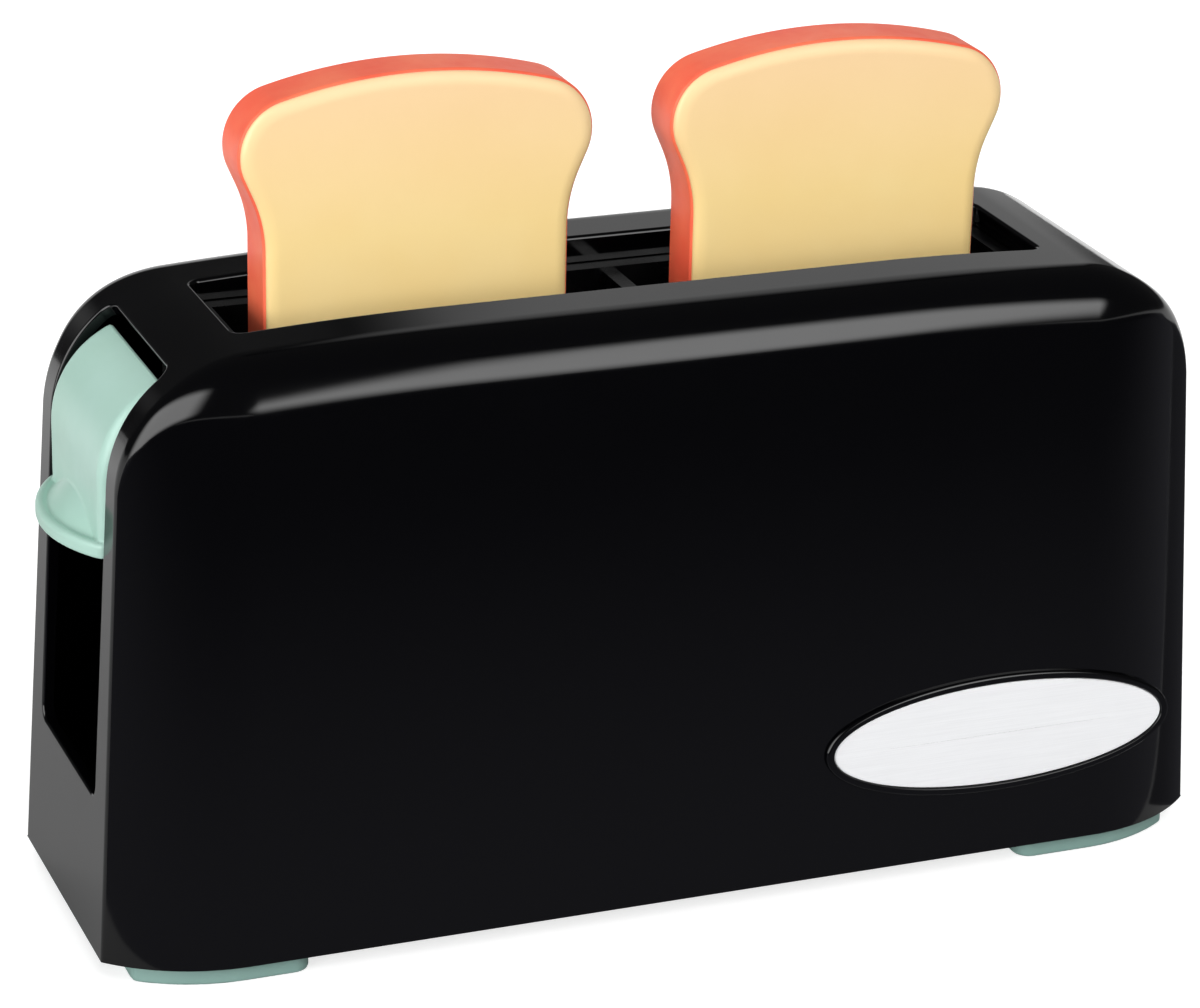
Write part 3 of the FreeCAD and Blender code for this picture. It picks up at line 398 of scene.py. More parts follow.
def skin_rows(skin, inset, facing):
    """Everything of the form outside the level strip: fillets and the two long sides."""
    x, z, nx, nz, r = profile(ROWS)
    r = np.maximum(r - inset, R_LEAST)
    total = r + inset
    cx, cz = x - total * nx, z - total * nz
    cy, n_side = side(cx, cz, total)
    n_top = np.stack([nx, 0 * nx, nz], -1)
    centre = np.stack([cx, cy, cz], -1)
    dots = np.clip((n_top * n_side).sum(-1), -1, 1)
    omega = np.arccos(dots)
    pts, nrm = [], []
    for k in np.linspace(0, 1, 4):
        pts.append(np.stack([x - inset * nx, PANEL_Y + (cy - PANEL_Y) * k, z - inset * nz], -1))
        nrm.append(n_top)
    for u in np.linspace(0, 1, 15)[1:]:
        w = (np.sin((1 - u) * omega)[:, None] * n_top + np.sin(u * omega)[:, None] * n_side)
        w /= np.sin(omega)[:, None]
        pts.append(centre + r[:, None] * w)
        nrm.append(w)
    last = pts[-1]
    for t in np.linspace(0, 1, 41)[1:]:
        px, pz = last[:, 0] * (1 - t), last[:, 2] * (1 - t)
        py, pn = side(px, pz, inset)
        pts.append(np.stack([px, py, pz], -1))
        nrm.append(pn)
    pts, nrm = np.stack(pts, 1), np.stack(nrm, 1)
    mirror = np.array([1.0, -1.0, 1.0])
    for flip in (1.0, mirror):
        skin.grid(pts * flip, nrm * flip * facing)


def panel_point(s, y, depth):
    """Points of the level strip at arc length s and width y, sunk by depth, with their normals."""
    x, z, nx, nz, _ = profile(s)
    return np.stack([x - depth * nx, y + 0 * x, z - depth * nz], -1), np.stack([nx, 0 * nx, nz], -1)


def hole_loop(s0, s1, half, corner, sa, sb):
    """Matching points (s, y) round an opening, their outward directions, and round its outer frame."""
    inner, out, frame_pts = [], [], []
    long_s = ROWS[(ROWS >= sa - TINY) & (ROWS <= sb + TINY)]
    wide_y = np.concatenate([np.linspace(-PANEL_Y, -(half - corner), 7)[:-1],
                             np.linspace(-(half - corner), half - corner, 9),
                             np.linspace(half - corner, PANEL_Y, 7)[1:]])

    def corner_point(cs, cy, ang):
        d = np.array([math.cos(ang), math.sin(ang)])
        return np.array([cs, cy]) + corner * d, d

    def put(s, y, point, direction):
        frame_pts.append((s, y))
        inner.append(point)
        out.append(direction)

    for turn in range(4):
        if turn in (0, 2):
            sy = 1 if turn == 0 else -1
            run = long_s if turn == 0 else long_s[::-1]
            for s in run[:-1]:
                if s < s0 + corner - TINY:
                    k = (s - sa) / (s0 + corner - sa)
                    base = math.pi - (math.pi / 4) * (1 + k)
                    p, d = corner_point(s0 + corner, half - corner, base)
                elif s > s1 - corner + TINY:
                    k = (sb - s) / (sb - s1 + corner)
                    base = (math.pi / 4) * (1 + k)
                    p, d = corner_point(s1 - corner, half - corner, base)
                else:
                    p, d = np.array([s, half]), np.array([0.0, 1.0])
                put(s, sy * PANEL_Y, p * [1, sy], d * [1, sy])
        else:
            right = turn == 1
            run = wide_y[::-1] if right else wide_y
            cs = s1 - corner if right else s0 + corner
            sgn = 1 if right else -1
            for y in run[:-1]:
                if abs(y) > half - corner + TINY:
                    k = (abs(y) - half + corner) / (PANEL_Y - half + corner)
                    ang = k * math.pi / 4
                    d = np.array([sgn * math.cos(ang), math.sin(ang) * np.sign(y)])
                    p = np.array([cs, (half - corner) * np.sign(y)]) + corner * d
                else:
                    d = np.array([sgn, 0.0])
                    p = np.array([s1 if right else s0, y])
                put(sb if right else sa, y, p, d)
    return np.array(inner), np.array(out), np.array(frame_pts)


def tangent(s):
    """Direction in which the arc length grows."""
    _, _, nx, nz, _ = profile(s)
    return np.stack([nz, 0 * nx, -nx], -1)


def opening(skin, s0, s1, half, corner, sa, sb, round_r, inner_inset, wall_drop=None):
    """Strip patch with an opening: its surface, rounded rim, wall, and the inside skin round it. The wall
    goes straight in through the housing, or down to the height wall_drop."""
    inner, out, frame_pts = hole_loop(s0, s1, half, corner, sa, sb)
    edge = inner + out * round_r
    rows_p, rows_n = [], []
    for k in np.linspace(1, 0, 4):
        sy = frame_pts * k + edge * (1 - k)
        p, n = panel_point(sy[:, 0], sy[:, 1], 0.0)
        rows_p.append(p)
        rows_n.append(n)
    surface_n = panel_point(inner[:, 0], inner[:, 1], 0.0)[1]
    along = tangent(inner[:, 0])
    away = along * out[:, :1] + np.array([0.0, 1.0, 0.0]) * out[:, 1:2]
    down = -surface_n if wall_drop is None else np.tile([0.0, 0.0, -1.0], (len(inner), 1))
    base, _ = panel_point(inner[:, 0], inner[:, 1], 0.0)
    for th in np.linspace(0, math.pi / 2, 7)[1:]:
        o, d = round_r * (1 - math.sin(th)), round_r * (1 - math.cos(th))
        rows_p.append(base + away * o + down * d)
        rows_n.append(-down * math.cos(th) - away * math.sin(th))
    if wall_drop is None:
        deep = base + down * inner_inset
    else:
        deep = base.copy()
        deep[:, 2] = wall_drop
    rim_end = rows_p[-1]
    for k in (0.5, 1.0):
        rows_p.append(rim_end * (1 - k) + deep * k)
        rows_n.append(-away)
    points, normals = np.stack(rows_p), np.stack(rows_n)
    skin.grid(points, normals)
    skin.grid(points[:, [-1, 0]], normals[:, [-1, 0]])
    back = []
    for k in (1.0, 0.5, 0.0):
        sy = frame_pts * k + inner * (1 - k)
        back.append(panel_point(sy[:, 0], sy[:, 1], inner_inset))
    pts = np.stack([b[0] for b in back])
    nrm = -np.stack([b[1] for b in back])
    skin.grid(pts, nrm, close=True)
    return base, away, deep


def strip(skin, sa, sb, inset, facing):
    """Plain part of the level strip between two stations."""
    run = ROWS[(ROWS >= sa - TINY) & (ROWS <= sb + TINY)]
    ys = np.linspace(-PANEL_Y, PANEL_Y, 17)
    pts, nrm = zip(*[panel_point(run, np.full(len(run), y), inset) for y in ys])
    skin.grid(np.stack(pts, 1), np.stack(nrm, 1) * facing)


def nearest_row(s):
    return float(ROWS[np.argmin(np.abs(ROWS - s))])


def shell():
    """The whole housing: outside and inside skin, both openings with the collar, and the lower edge."""
    skin = Skin()
    slot_a, slot_b = nearest_row(S_SLOT[0] - MARGIN), nearest_row(S_SLOT[1] + MARGIN)
    mouth_a, mouth_b = nearest_row(S_MOUTH[0] - MARGIN), nearest_row(S_MOUTH[1] + MARGIN)
    sides = ((0.0, 1.0), (WALL, -1.0))
    for inset, facing in sides:
        skin_rows(skin, inset, facing)
    for inset, facing in sides:
        strip(skin, 0.0, slot_a, inset, facing)
        strip(skin, slot_b, mouth_a, inset, facing)
        strip(skin, mouth_b, 2 * HALF_S, inset, facing)
    opening(skin, *S_SLOT, SLOT["half"], SLOT["corner"], slot_a, slot_b, SLOT["edge"], WALL)
    base, away, deep = opening(skin, *S_MOUTH, MOUTH["half"], MOUTH["corner"], mouth_a, mouth_b,
                               MOUTH["edge"], WALL, HIGH - MOUTH["drop"])
    outer = deep + away * MOUTH["collar"]
    down = np.tile([0.0, 0.0, -1.0], (len(deep), 1))
    skin.grid(np.stack([deep, outer]), np.stack([down, down]), close=True)
    raised = outer.copy()
    raised[:, 2] = base[:, 2] - WALL / 2     # ends inside the wall
    skin.grid(np.stack([outer, raised]), np.stack([away, away]), close=True)
    rim(skin)
    return skin


def rim(skin):
    """Lower edge of the walls."""
    loops = []
    for inset in (0.0, WALL):
        xs = (HALF_L - inset) * np.sin(np.linspace(-1, 1, 161) * math.pi / 2)
        ys = side(xs, 0 * xs, inset)[0]
        front = np.stack([xs, -ys, 0 * xs], -1)
        back = np.stack([xs[::-1], ys[::-1], 0 * xs], -1)
        loops.append(np.concatenate([front, back]))
    down = np.tile([0.0, 0.0, -1.0], (len(loops[0]), 1))
    skin.grid(np.stack(loops), np.stack([down, down]), close=True)


shell().build("outer_shell_skin", "housing_black", "housing", ("outer_shell",))


# ================================================================ badge
BADGE_X, BADGE_Z, BADGE_A, BADGE_B = 57.95, 22.45, 31.25, 9.25   # middle and half axes of the plate
RIM = dict(gap=0.1, width=1.55, stand=0.9, edge=0.6, inner_edge=0.25, inner_foot=-0.65, level=-2.0, root=-5.6)
PLATE = dict(face=0.55, edge=0.25, back=-0.6)
BADGE_OUT = np.array([0.0, -1.0, SIDE_DRAFT]) / SIDE_SLANT
BADGE_UP = np.array([0.0, SIDE_DRAFT, 1.0]) / SIDE_SLANT
BADGE_MIDDLE = np.array([BADGE_X, -(HALF_W - SIDE_DRAFT * BADGE_Z), BADGE_Z])


def oval_rings(skin, section):
    """Rings round the badge's oval. Each row of the section is outward, height, and its normal."""
    t = np.linspace(0, 2 * math.pi, 181)[:-1]
    pts, nrm = [], []
    for out, high, n_out, n_high in section:
        a, b = BADGE_A + out, BADGE_B + out
        flat = np.stack([np.cos(t) / a, np.sin(t) / b], -1)
        flat /= np.linalg.norm(flat, axis=1, keepdims=True)
        place_at = BADGE_MIDDLE + np.outer(a * np.cos(t), [1, 0, 0]) + np.outer(b * np.sin(t), BADGE_UP)
        pts.append(place_at + high * BADGE_OUT)
        way = np.outer(flat[:, 0], [1, 0, 0]) + np.outer(flat[:, 1], BADGE_UP)
        nrm.append(n_out * way + n_high * BADGE_OUT)
    skin.grid(np.stack(pts), np.stack(nrm), close=True)


def quarter_round(out, high, radius, turn, steps=6):
    """Rows of a rounded edge about the point (out, high): turn 1 for an outer wall, -1 for an inner one."""
    rows = []
    for k in np.linspace(0, math.pi / 2, steps):
        angle = k if turn > 0 else math.pi / 2 - k
        rows.append((out + turn * radius * math.sin(angle), high + radius * math.cos(angle),
                     turn * math.sin(angle), math.cos(angle)))
    return rows


def badge():
    """The raised rim, whose wall goes down through the front of the housing, and the bare plate in it."""
    rim_skin = Skin()
    gap, width, stand, edge, inner_edge, inner_foot, level, root = RIM.values()
    section = [(gap, inner_foot, -1, 0)] + quarter_round(gap + inner_edge, stand - inner_edge, inner_edge, -1)
    section += quarter_round(width - edge, stand - edge, edge, 1) + [(width, level, 1, 0), (width, root, 1, 0)]
    oval_rings(rim_skin, section)
    rim_skin.build("badge_rim_skin", "housing_black", "housing")
    plate = Skin()
    face, edge, back = PLATE.values()
    flat = [(-BADGE_B * k, face, 0, 1) for k in (0.999, 0.9, 0.75, 0.5, 0.25, 0.1)]
    oval_rings(plate, flat + quarter_round(-edge, face - edge, edge, 1) + [(0.0, back, 1, 0)])
    plate.build("badge_plate_skin", "badge_silver", "housing", ("badge_plate",))


badge()


# ================================================================ bread slices
SLICE = dict(half=25.9, foot=69.3, margin=0.4, flare_z=112.5, flare_r=24.0, lean=24.5, ear_x=20.8,
             ear_z=128.8, ear_r=9.2, top=140.8, corner=3.0, thick=9.6, crumb=1.2, crust_edge=0.7,
             crumb_edge=2.3, overlap=0.25, cap=40.0)


def slice_loop(grow, lower, step=0.55):
    """Outline of a slice about X = 0, widened by grow and with its top lowered: points and outward normals
    as (x, z)."""
    c = dict(SLICE)
    for key in ("flare_z", "ear_z", "top"):
        c[key] -= lower
    half, foot = c["half"] + grow, c["foot"] + c["margin"] - grow
    flare, ear, top = c["flare_r"] - grow, c["ear_r"] + grow, c["top"] + grow
    drop = c["top"] - c["ear_z"]
    crest = (c["ear_x"] ** 2 + drop ** 2 - c["ear_r"] ** 2) / (2 * (drop - c["ear_r"])) + grow
    crest_z = top - crest
    meet = math.atan2(c["ear_z"] - crest_z, c["ear_x"])
    lean = math.radians(c["lean"])
    pts, nrm = [], []

    def line(x0, z0, x1, z1):
        n = max(2, int(math.hypot(x1 - x0, z1 - z0) / (2 * step)))
        normal = np.array([z1 - z0, x0 - x1]) / math.hypot(x1 - x0, z1 - z0)
        for k in np.linspace(0, 1, n)[:-1]:
            pts.append((x0 + (x1 - x0) * k, z0 + (z1 - z0) * k))
            nrm.append(normal)

    def arc(x, z, radius, a0, a1, facing=1.0):
        n = max(3, int(abs(a1 - a0) * radius / step))
        for a in np.linspace(a0, a1, n)[:-1]:
            pts.append((x + radius * math.cos(a), z + radius * math.sin(a)))
            nrm.append(facing * np.array([math.cos(a), math.sin(a)]))

    r = c["corner"]
    line(0, foot, half - r, foot)
    arc(half - r, foot + r, r, -math.pi / 2, 0)
    line(half, foot + r, half, c["flare_z"])
    arc(half + flare, c["flare_z"], flare, math.pi, math.pi - lean, -1.0)
    line(half + flare - flare * math.cos(lean), c["flare_z"] + flare * math.sin(lean),
         c["ear_x"] + ear * math.cos(lean), c["ear_z"] - ear * math.sin(lean))
    arc(c["ear_x"], c["ear_z"], ear, -lean, meet)
    arc(0, crest_z, crest, meet, math.pi / 2)
    pts.append((0, top))
    nrm.append(np.array([0.0, 1.0]))
    right_p, right_n = np.array(pts), np.array(nrm)
    flip = np.array([-1.0, 1.0])
    return (np.vstack([right_p, right_p[-2:0:-1] * flip]), np.vstack([right_n, right_n[-2:0:-1] * flip]))


def slice_rings(skin, x, lower, grow, section, cap_y, cap_facing):
    """Rings round a slice's outline, (inset, y, outward share, y share) each, and a flat cap at cap_y."""
    loop, out = slice_loop(grow, lower)
    pts, nrm = [], []
    for inset, y, n_out, n_y in section:
        flat = loop - out * inset
        pts.append(np.stack([x + flat[:, 0], 0 * flat[:, 0] + y, flat[:, 1]], -1))
        nrm.append(np.stack([out[:, 0] * n_out, 0 * out[:, 0] + n_y, out[:, 1] * n_out], -1))
    middle = np.array([x, cap_y, SLICE["foot"] + SLICE["cap"]])
    last = pts[-1]
    for k in (0.8, 0.5, 0.2, 0.0):
        pts.append(middle + (last - middle) * k)
        nrm.append(np.tile([0.0, cap_facing, 0.0], (len(last), 1)))
    skin.grid(np.stack(pts), np.stack(nrm), close=True)


def slice_section(y_in, y_out, inward, depth):
    """Wall from y_in out to y_out, with an elliptic edge of inward by depth, and the cap's place."""
    facing = 1.0 if y_out > y_in else -1.0
    rows = [(0.0, y_in, 1.0, 0.0)]
    for k in np.linspace(0, math.pi / 2, 9):
        n_out, n_y = math.cos(k) / inward, math.sin(k) / depth
        rows.append((inward * (1 - math.cos(k)), y_out - facing * depth * (1 - math.sin(k)),
                     n_out / math.hypot(n_out, n_y), facing * n_y / math.hypot(n_out, n_y)))
    return rows, y_out, facing


def bread(body, x, lower):
    """A slice whose middle is at x and whose crest is lowered: the crust and a crumb on either side."""
    half, edge, depth = SLICE["thick"] / 2, SLICE["crust_edge"], SLICE["crumb"]
    crust = Skin()
    for facing in (-1.0, 1.0):
        slice_rings(crust, x, lower, SLICE["margin"], *slice_section(0.0, facing * half, edge, edge))
    made = [crust.build(body + "_crust_skin", "crust", body, (body + "_crust",))]
    for side_name, facing in (("front", -1.0), ("back", 1.0)):
        crumb = Skin()
        root, face = facing * (half - SLICE["overlap"]), facing * (half + depth)
        slice_rings(crumb, x, lower, 0.0, *slice_section(root, face, SLICE["crumb_edge"], depth))
        node = body + "_crumb_" + side_name
        made.append(crumb.build(node + "_skin", "crumb", body, (node,)))
    for obj in made:
        obj.visible_glossy = False           # the gloss round the opening shows no bread


bread("slice_left", -39.0, 0.0)
bread("slice_right", 35.6, 0.7)


# ================================================================ pieces worked out from a distance field
def rmax(a, b, r):
    """Both of two forms, with the edge between them rounded to a radius."""
    return np.minimum(-r, np.maximum(a, b)) + np.hypot(np.maximum(a + r, 0), np.maximum(b + r, 0))


def rmin(a, b, r):
    """Either of two forms, with a fillet of a radius where they meet."""
    return -rmax(-a, -b, r)


def rbox(p, low, high, r):
    """Rounded block."""
    low, high = np.array(low, float), np.array(high, float)
    q = np.abs(p - (low + high) / 2) - (high - low) / 2 + r
    return np.linalg.norm(np.maximum(q, 0), axis=-1) + np.minimum(q.max(-1), 0) - r


def nets(form, low, high, step, chunk=400000):
    """Closed quad mesh of form(p) = 0 inside a block: points, the form's own normals, and quads. Each cell
    that the surface crosses holds one point, which is then moved onto the surface."""
    low, high = np.array(low, float) - 1.5 * step, np.array(high, float) + 1.5 * step
    count = np.ceil((high - low) / step).astype(int) + 1
    axes = [low[i] + step * np.arange(count[i]) for i in range(3)]
    p = np.stack(np.meshgrid(*axes, indexing="ij"), -1).reshape(-1, 3)
    value = np.concatenate([form(p[i:i + chunk]) for i in range(0, len(p), chunk)]).reshape(count)
    inside = value < 0
    shape = tuple(count - 1)
    total, hits = np.zeros(shape + (3,)), np.zeros(shape)
    corner = [(i, j, k) for i in (0, 1) for j in (0, 1) for k in (0, 1)]

    def at(grid, c):
        return grid[c[0]:c[0] + shape[0], c[1]:c[1] + shape[1], c[2]:c[2] + shape[2]]

    for a in corner:
        for axis in range(3):
            if a[axis]:
                continue
            b = list(a)
            b[axis] = 1
            va, vb = at(value, a), at(value, b)
            cross = at(inside, a) != at(inside, b)
            t = np.where(cross, va / np.where(cross, va - vb, 1.0), 0.0)
            spot = np.array(a, float) + t[..., None] * np.eye(3)[axis]
            total += np.where(cross[..., None], spot, 0.0)
            hits += cross
    used = hits > 0
    index = -np.ones(shape, int)
    index[used] = np.arange(used.sum())
    cell = np.stack(np.meshgrid(*[np.arange(n) for n in shape], indexing="ij"), -1)
    points = low + step * (cell[used] + total[used] / hits[used][:, None])
    quads = []
    for axis in range(3):
        u, v = [i for i in range(3) if i != axis]
        first = [slice(1, -1)] * 3
        first[axis] = slice(0, -1)
        then = list(first)
        then[axis] = slice(1, None)
        change = inside[tuple(first)] != inside[tuple(then)]
        where = np.argwhere(change)
        offset = np.ones(3, int)
        offset[axis] = 0
        where = where + offset
        eu, ev = np.eye(3, dtype=int)[u], np.eye(3, dtype=int)[v]
        ring = [where, where - eu, where - eu - ev, where - ev]
        quads.append(np.stack([index[tuple(r.T)] for r in ring], 1))
    quads = np.concatenate(quads)

    def slope(q):
        h = step * 0.02
        return np.stack([(form(q + h * e) - form(q - h * e)) / (2 * h) for e in np.eye(3)], -1)

    for _ in range(4):
        g = slope(points)
        move = form(points)[:, None] * g / np.maximum((g * g).sum(1, keepdims=True), 0.05)
        points = points - np.clip(move, -step / 2, step / 2)
    g = slope(points)
    return points, g / np.maximum(np.linalg.norm(g, axis=1, keepdims=True), TINY), quads


def field_piece(name, slot_name, body, replaced, form, low, high, step):
    """Piece bounded by form(p) = 0 between the corners low and high."""
    skin = Skin()
    skin.add(*nets(form, low, high, step))
    return skin.build(name, slot_name, body, replaced)


# ---------------------------------------------------------------- lever
LEVER = dict(x=96.3, half=16.6, low=67.7, arc_z=80.5, arc_r=17.2, angle=68.0, thick=2.2, flange=5.0,
             flange_thick=1.8, edge=2.6, stand=5.8, lip=2.6, lip_width=1.9, bead=0.8, scoop=6.6, pocket=1.6,
             setback=0.4, tab_in=1.4)
LEVER_EDGE = dict(fine=0.3, small=0.4, hollow=0.8, ends=0.6, lip=0.7, crest=0.85, scoop=1.2, tab=0.5,
                  tab_side=0.7, join=0.25)   # radii of its lesser edges
OUTSIDE = -9.0                               # distance given to a limit where it doesn't apply


def lever_form(p):
    """Panel that follows the arch, with a flange along each side, and a finger tab under a thumb hollow."""
    c, e = LEVER, LEVER_EDGE
    x, y, z = p[:, 0], np.abs(p[:, 1]), p[:, 2]
    centre = -(c["x"] - c["arc_r"])
    depth = np.where(z < c["arc_z"], x + c["x"], c["arc_r"] - np.hypot(x - centre, z - c["arc_z"]))
    end = math.radians(180 - c["angle"])
    beyond = (x - centre) * math.sin(end) - (z - c["arc_z"]) * math.cos(end)
    beyond = np.where(z < c["arc_z"], OUTSIDE, beyond)
    ends = np.maximum(c["low"] - z, beyond)
    outer = rmax(rmax(-depth, y - c["half"], c["edge"]), depth - c["thick"] - c["flange"], e["small"])
    hollow = rmax(c["thick"] - depth, y - c["half"] + c["flange_thick"], e["hollow"])
    sheet = rmax(rmax(outer, -hollow, e["small"]), ends, e["ends"])
    radius = (c["stand"] ** 2 + c["half"] ** 2) / (2 * c["stand"])
    root = radius - c["stand"]
    r = np.hypot(x - (root - c["x"]), y)
    lip_in = radius - c["lip_width"]
    crest, foot = c["low"] + c["lip"], c["low"] + c["lip"] - c["bead"]
    run, rise = root - lip_in, c["low"] + c["scoop"] - foot
    slope = ((r - lip_in) * rise - (z - foot) * run) / math.hypot(run, rise)
    ring = rmax(rmax(r - radius, lip_in - r, e["lip"]), z - crest, e["crest"])
    dish = rmax(r - radius + c["setback"], rmin(z - foot, slope, e["scoop"]), e["small"])
    tab = rmax(rmin(ring, dish, e["tab"]), c["low"] - z, e["tab"])
    tab = rmax(tab, rmax(y - c["half"], x + c["x"] - c["tab_in"], e["fine"]), e["tab_side"])
    pocket = rmax(r - lip_in + c["setback"], root + c["lip_width"] - r, e["fine"])
    pocket = rmax(pocket, z - c["low"] - c["pocket"], e["fine"])
    pocket = rmax(pocket, y - c["half"] + c["flange_thick"], e["fine"])
    return np.maximum(rmin(sheet, tab, e["join"]), -pocket)


field_piece("lever_skin", "mint", "carriage", ("lever",), lever_form, (-103.5, -17, 67), (-72, 17, 98), 0.42)


# ---------------------------------------------------------------- feet
FOOT = dict(inset=1.8, end=95.3, end_edge=0.9, corner=3.0, edge=0.55, peg_edge=0.3,
            peg=((79.2, 17.2, -2.0), (82.8, 20.8, 5.0)))


def foot_form(sign, inner):
    """A foot inset from the housing's plan, from inner out to the end, with its two square pegs."""
    def form(p):
        x, y, z = sign * p[:, 0], np.abs(p[:, 1]), p[:, 2]
        wall = (y - HALF_W + SIDE_DRAFT * z) / SIDE_SLANT + FOOT["inset"]
        q = np.stack([x, y, z], -1) - CORNER_START
        away = np.linalg.norm(q - (q @ CORNER_AXIS)[:, None] * CORNER_AXIS, axis=1) - CORNER_R + FOOT["inset"]
        plan = np.where((q[:, 0] > 0) & (q[:, 1] > 0), np.maximum(away, wall), wall)
        plan = rmax(rmax(plan, x - FOOT["end"], FOOT["end_edge"]), inner - x, FOOT["corner"])
        slab = rmax(plan, np.abs(z + LIFT / 2) - LIFT / 2, FOOT["edge"])
        return np.minimum(slab, rbox(np.stack([x, y, z], -1), *FOOT["peg"], FOOT["peg_edge"]))
    return form


for foot_name, foot_sign, foot_inner, low_x, high_x in (("left_foot", -1, 66.0, -96, -65),
                                                        ("right_foot", 1, 64.0, 63, 96)):
    foot = field_piece(foot_name + "_skin", "mint", "housing", (foot_name,), foot_form(foot_sign, foot_inner),
                       (low_x, -33, -LIFT), (high_x, 33, 5.2), 0.5)
    # The feet take the darker mint copy: painted shade under the housing.
    foot.data.materials[0] = MATS["mint_painted_shade"]


# ---------------------------------------------------------------- return spring
SPRING = dict(radius=2.7, wire=0.4, turns=6)  # to the middle of the wire, half its thickness


def return_spring():
    """Round-wire spring on the left rod, at the length of the spring's solid; the mesh stays this long as the
    carriage goes down its 0.04 m.
    """
    node = nodes["return_spring"]
    box = np.array([node.matrix_world @ Vector(c) for c in node.bound_box]) * 1000.0
    low, high = box.min(0), box.max(0)
    wire = SPRING["wire"]
    t = np.linspace(0, 1, SPRING["turns"] * 40 + 1)
    turn = 2 * math.pi * SPRING["turns"] * t
    out = np.stack([np.cos(turn), np.sin(turn), 0 * t], -1)
    middle = np.array([(low[0] + high[0]) / 2, (low[1] + high[1]) / 2, 0.0]) + SPRING["radius"] * out
    middle[:, 2] = low[2] - LIFT + wire + (high[2] - low[2] - 2 * wire) * t
    along = np.gradient(middle, axis=0)
    along /= np.linalg.norm(along, axis=1, keepdims=True)
    up = np.cross(along, out)
    phi = np.linspace(0, 2 * math.pi, 13)[:-1]
    way = np.cos(phi)[None, :, None] * out[:, None] + np.sin(phi)[None, :, None] * up[:, None]
    skin = Skin()
    skin.grid(middle[:, None] + wire * way, way, close=True)
    for i, facing in ((0, -1.0), (-1, 1.0)):
        cap = np.stack([middle[i] + wire * way[i], middle[i] + 0.01 * way[i]])
        skin.grid(cap, np.tile(facing * along[i], (2, len(phi), 1)), close=True)
    made = skin.build("return_spring_skin", "steel", "housing", ("return_spring",))
    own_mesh(made)


return_spring()


# ================================================================ carried-over solids
SLOTS = {row["node"]: row["material_slot"] for row in record["subparts"]}
for name, obj in nodes.items():
    obj.data.materials.clear()
    obj.data.materials.append(MATS[SLOTS[name]])


# ================================================================ stage, light and camera
def look(obj, target):
    direction = Vector(target) - obj.location
    obj.rotation_mode = "QUATERNION"
    obj.rotation_quaternion = direction.to_track_quat("-Z", "Y")


def area(name, location, target, size, radiance):
    """Soft box whose face has the given radiance. Gloss shows the panels in its place."""
    data = bpy.data.lights.new(name, "AREA")
    data.shape = "RECTANGLE"
    data.size, data.size_y = size
    data.energy = radiance * math.pi * size[0] * size[1]
    obj = bpy.data.objects.new(name, data)
    bpy.context.scene.collection.objects.link(obj)
    obj.location = location
    obj.visible_glossy = False
    look(obj, target)
    return obj


def math_node(tree, operation, a, b):
    """Result of a math node over two sockets or numbers."""
    made = tree.nodes.new("ShaderNodeMath")
    made.operation = operation
    for socket, value in zip(made.inputs, (a, b)):
        if isinstance(value, (int, float)):
            socket.default_value = value
        else:
            tree.links.new(value, socket)
    return made.outputs[0]


def ramp_node(tree, value, low, high, to_low, to_high):
    """Smooth step of a socket from one range to another."""
    made = tree.nodes.new("ShaderNodeMapRange")
    made.interpolation_type = "SMOOTHSTEP"
    for key, number in (("From Min", low), ("From Max", high), ("To Min", to_low), ("To Max", to_high)):
        made.inputs[key].default_value = number
    tree.links.new(value, made.inputs["Value"])
    return made.outputs["Result"]


def empty_tree(owner):
    """The node tree of a material or world, with nothing in it."""
    owner.use_nodes = True
    owner.node_tree.nodes.clear()
    return owner.node_tree


def output(tree, shader, kind="Material"):
    out = tree.nodes.new("ShaderNodeOutput" + kind)
    tree.links.new(shader.outputs[0], out.inputs[0])


def emission(tree, level, color=(1, 1, 1, 1)):
    glow = tree.nodes.new("ShaderNodeEmission")
    glow.inputs["Color"].default_value = color
    tree.links.new(level, glow.inputs["Strength"])
    return glow


def object_coords(tree, kind):
    """The object's coordinates, taken into a vector node of a kind."""
    coords = tree.nodes.new("ShaderNodeTexCoord")
    made = tree.nodes.new(kind)
    tree.links.new(coords.outputs["Object"], made.inputs[0])
    return made


def plane(name, corners, mat):
    """Flat piece of the stage."""
    mesh = bpy.data.meshes.new(name)
    mesh.from_pydata(corners, [], [(0, 1, 2, 3)])
    mesh.materials.append(mat)
    obj = bpy.data.objects.new(name, mesh)
    bpy.context.scene.collection.objects.link(obj)
    return obj


def gloss_only(obj):
    """Leaves an object to glossy rays alone."""
    obj.visible_camera = False
    obj.visible_diffuse = False
    obj.visible_shadow = False
    obj.visible_transmission = False


PANEL_DISTANCE, PANEL_AIM = 1.3, Vector((0.0, 0.0, 0.06))


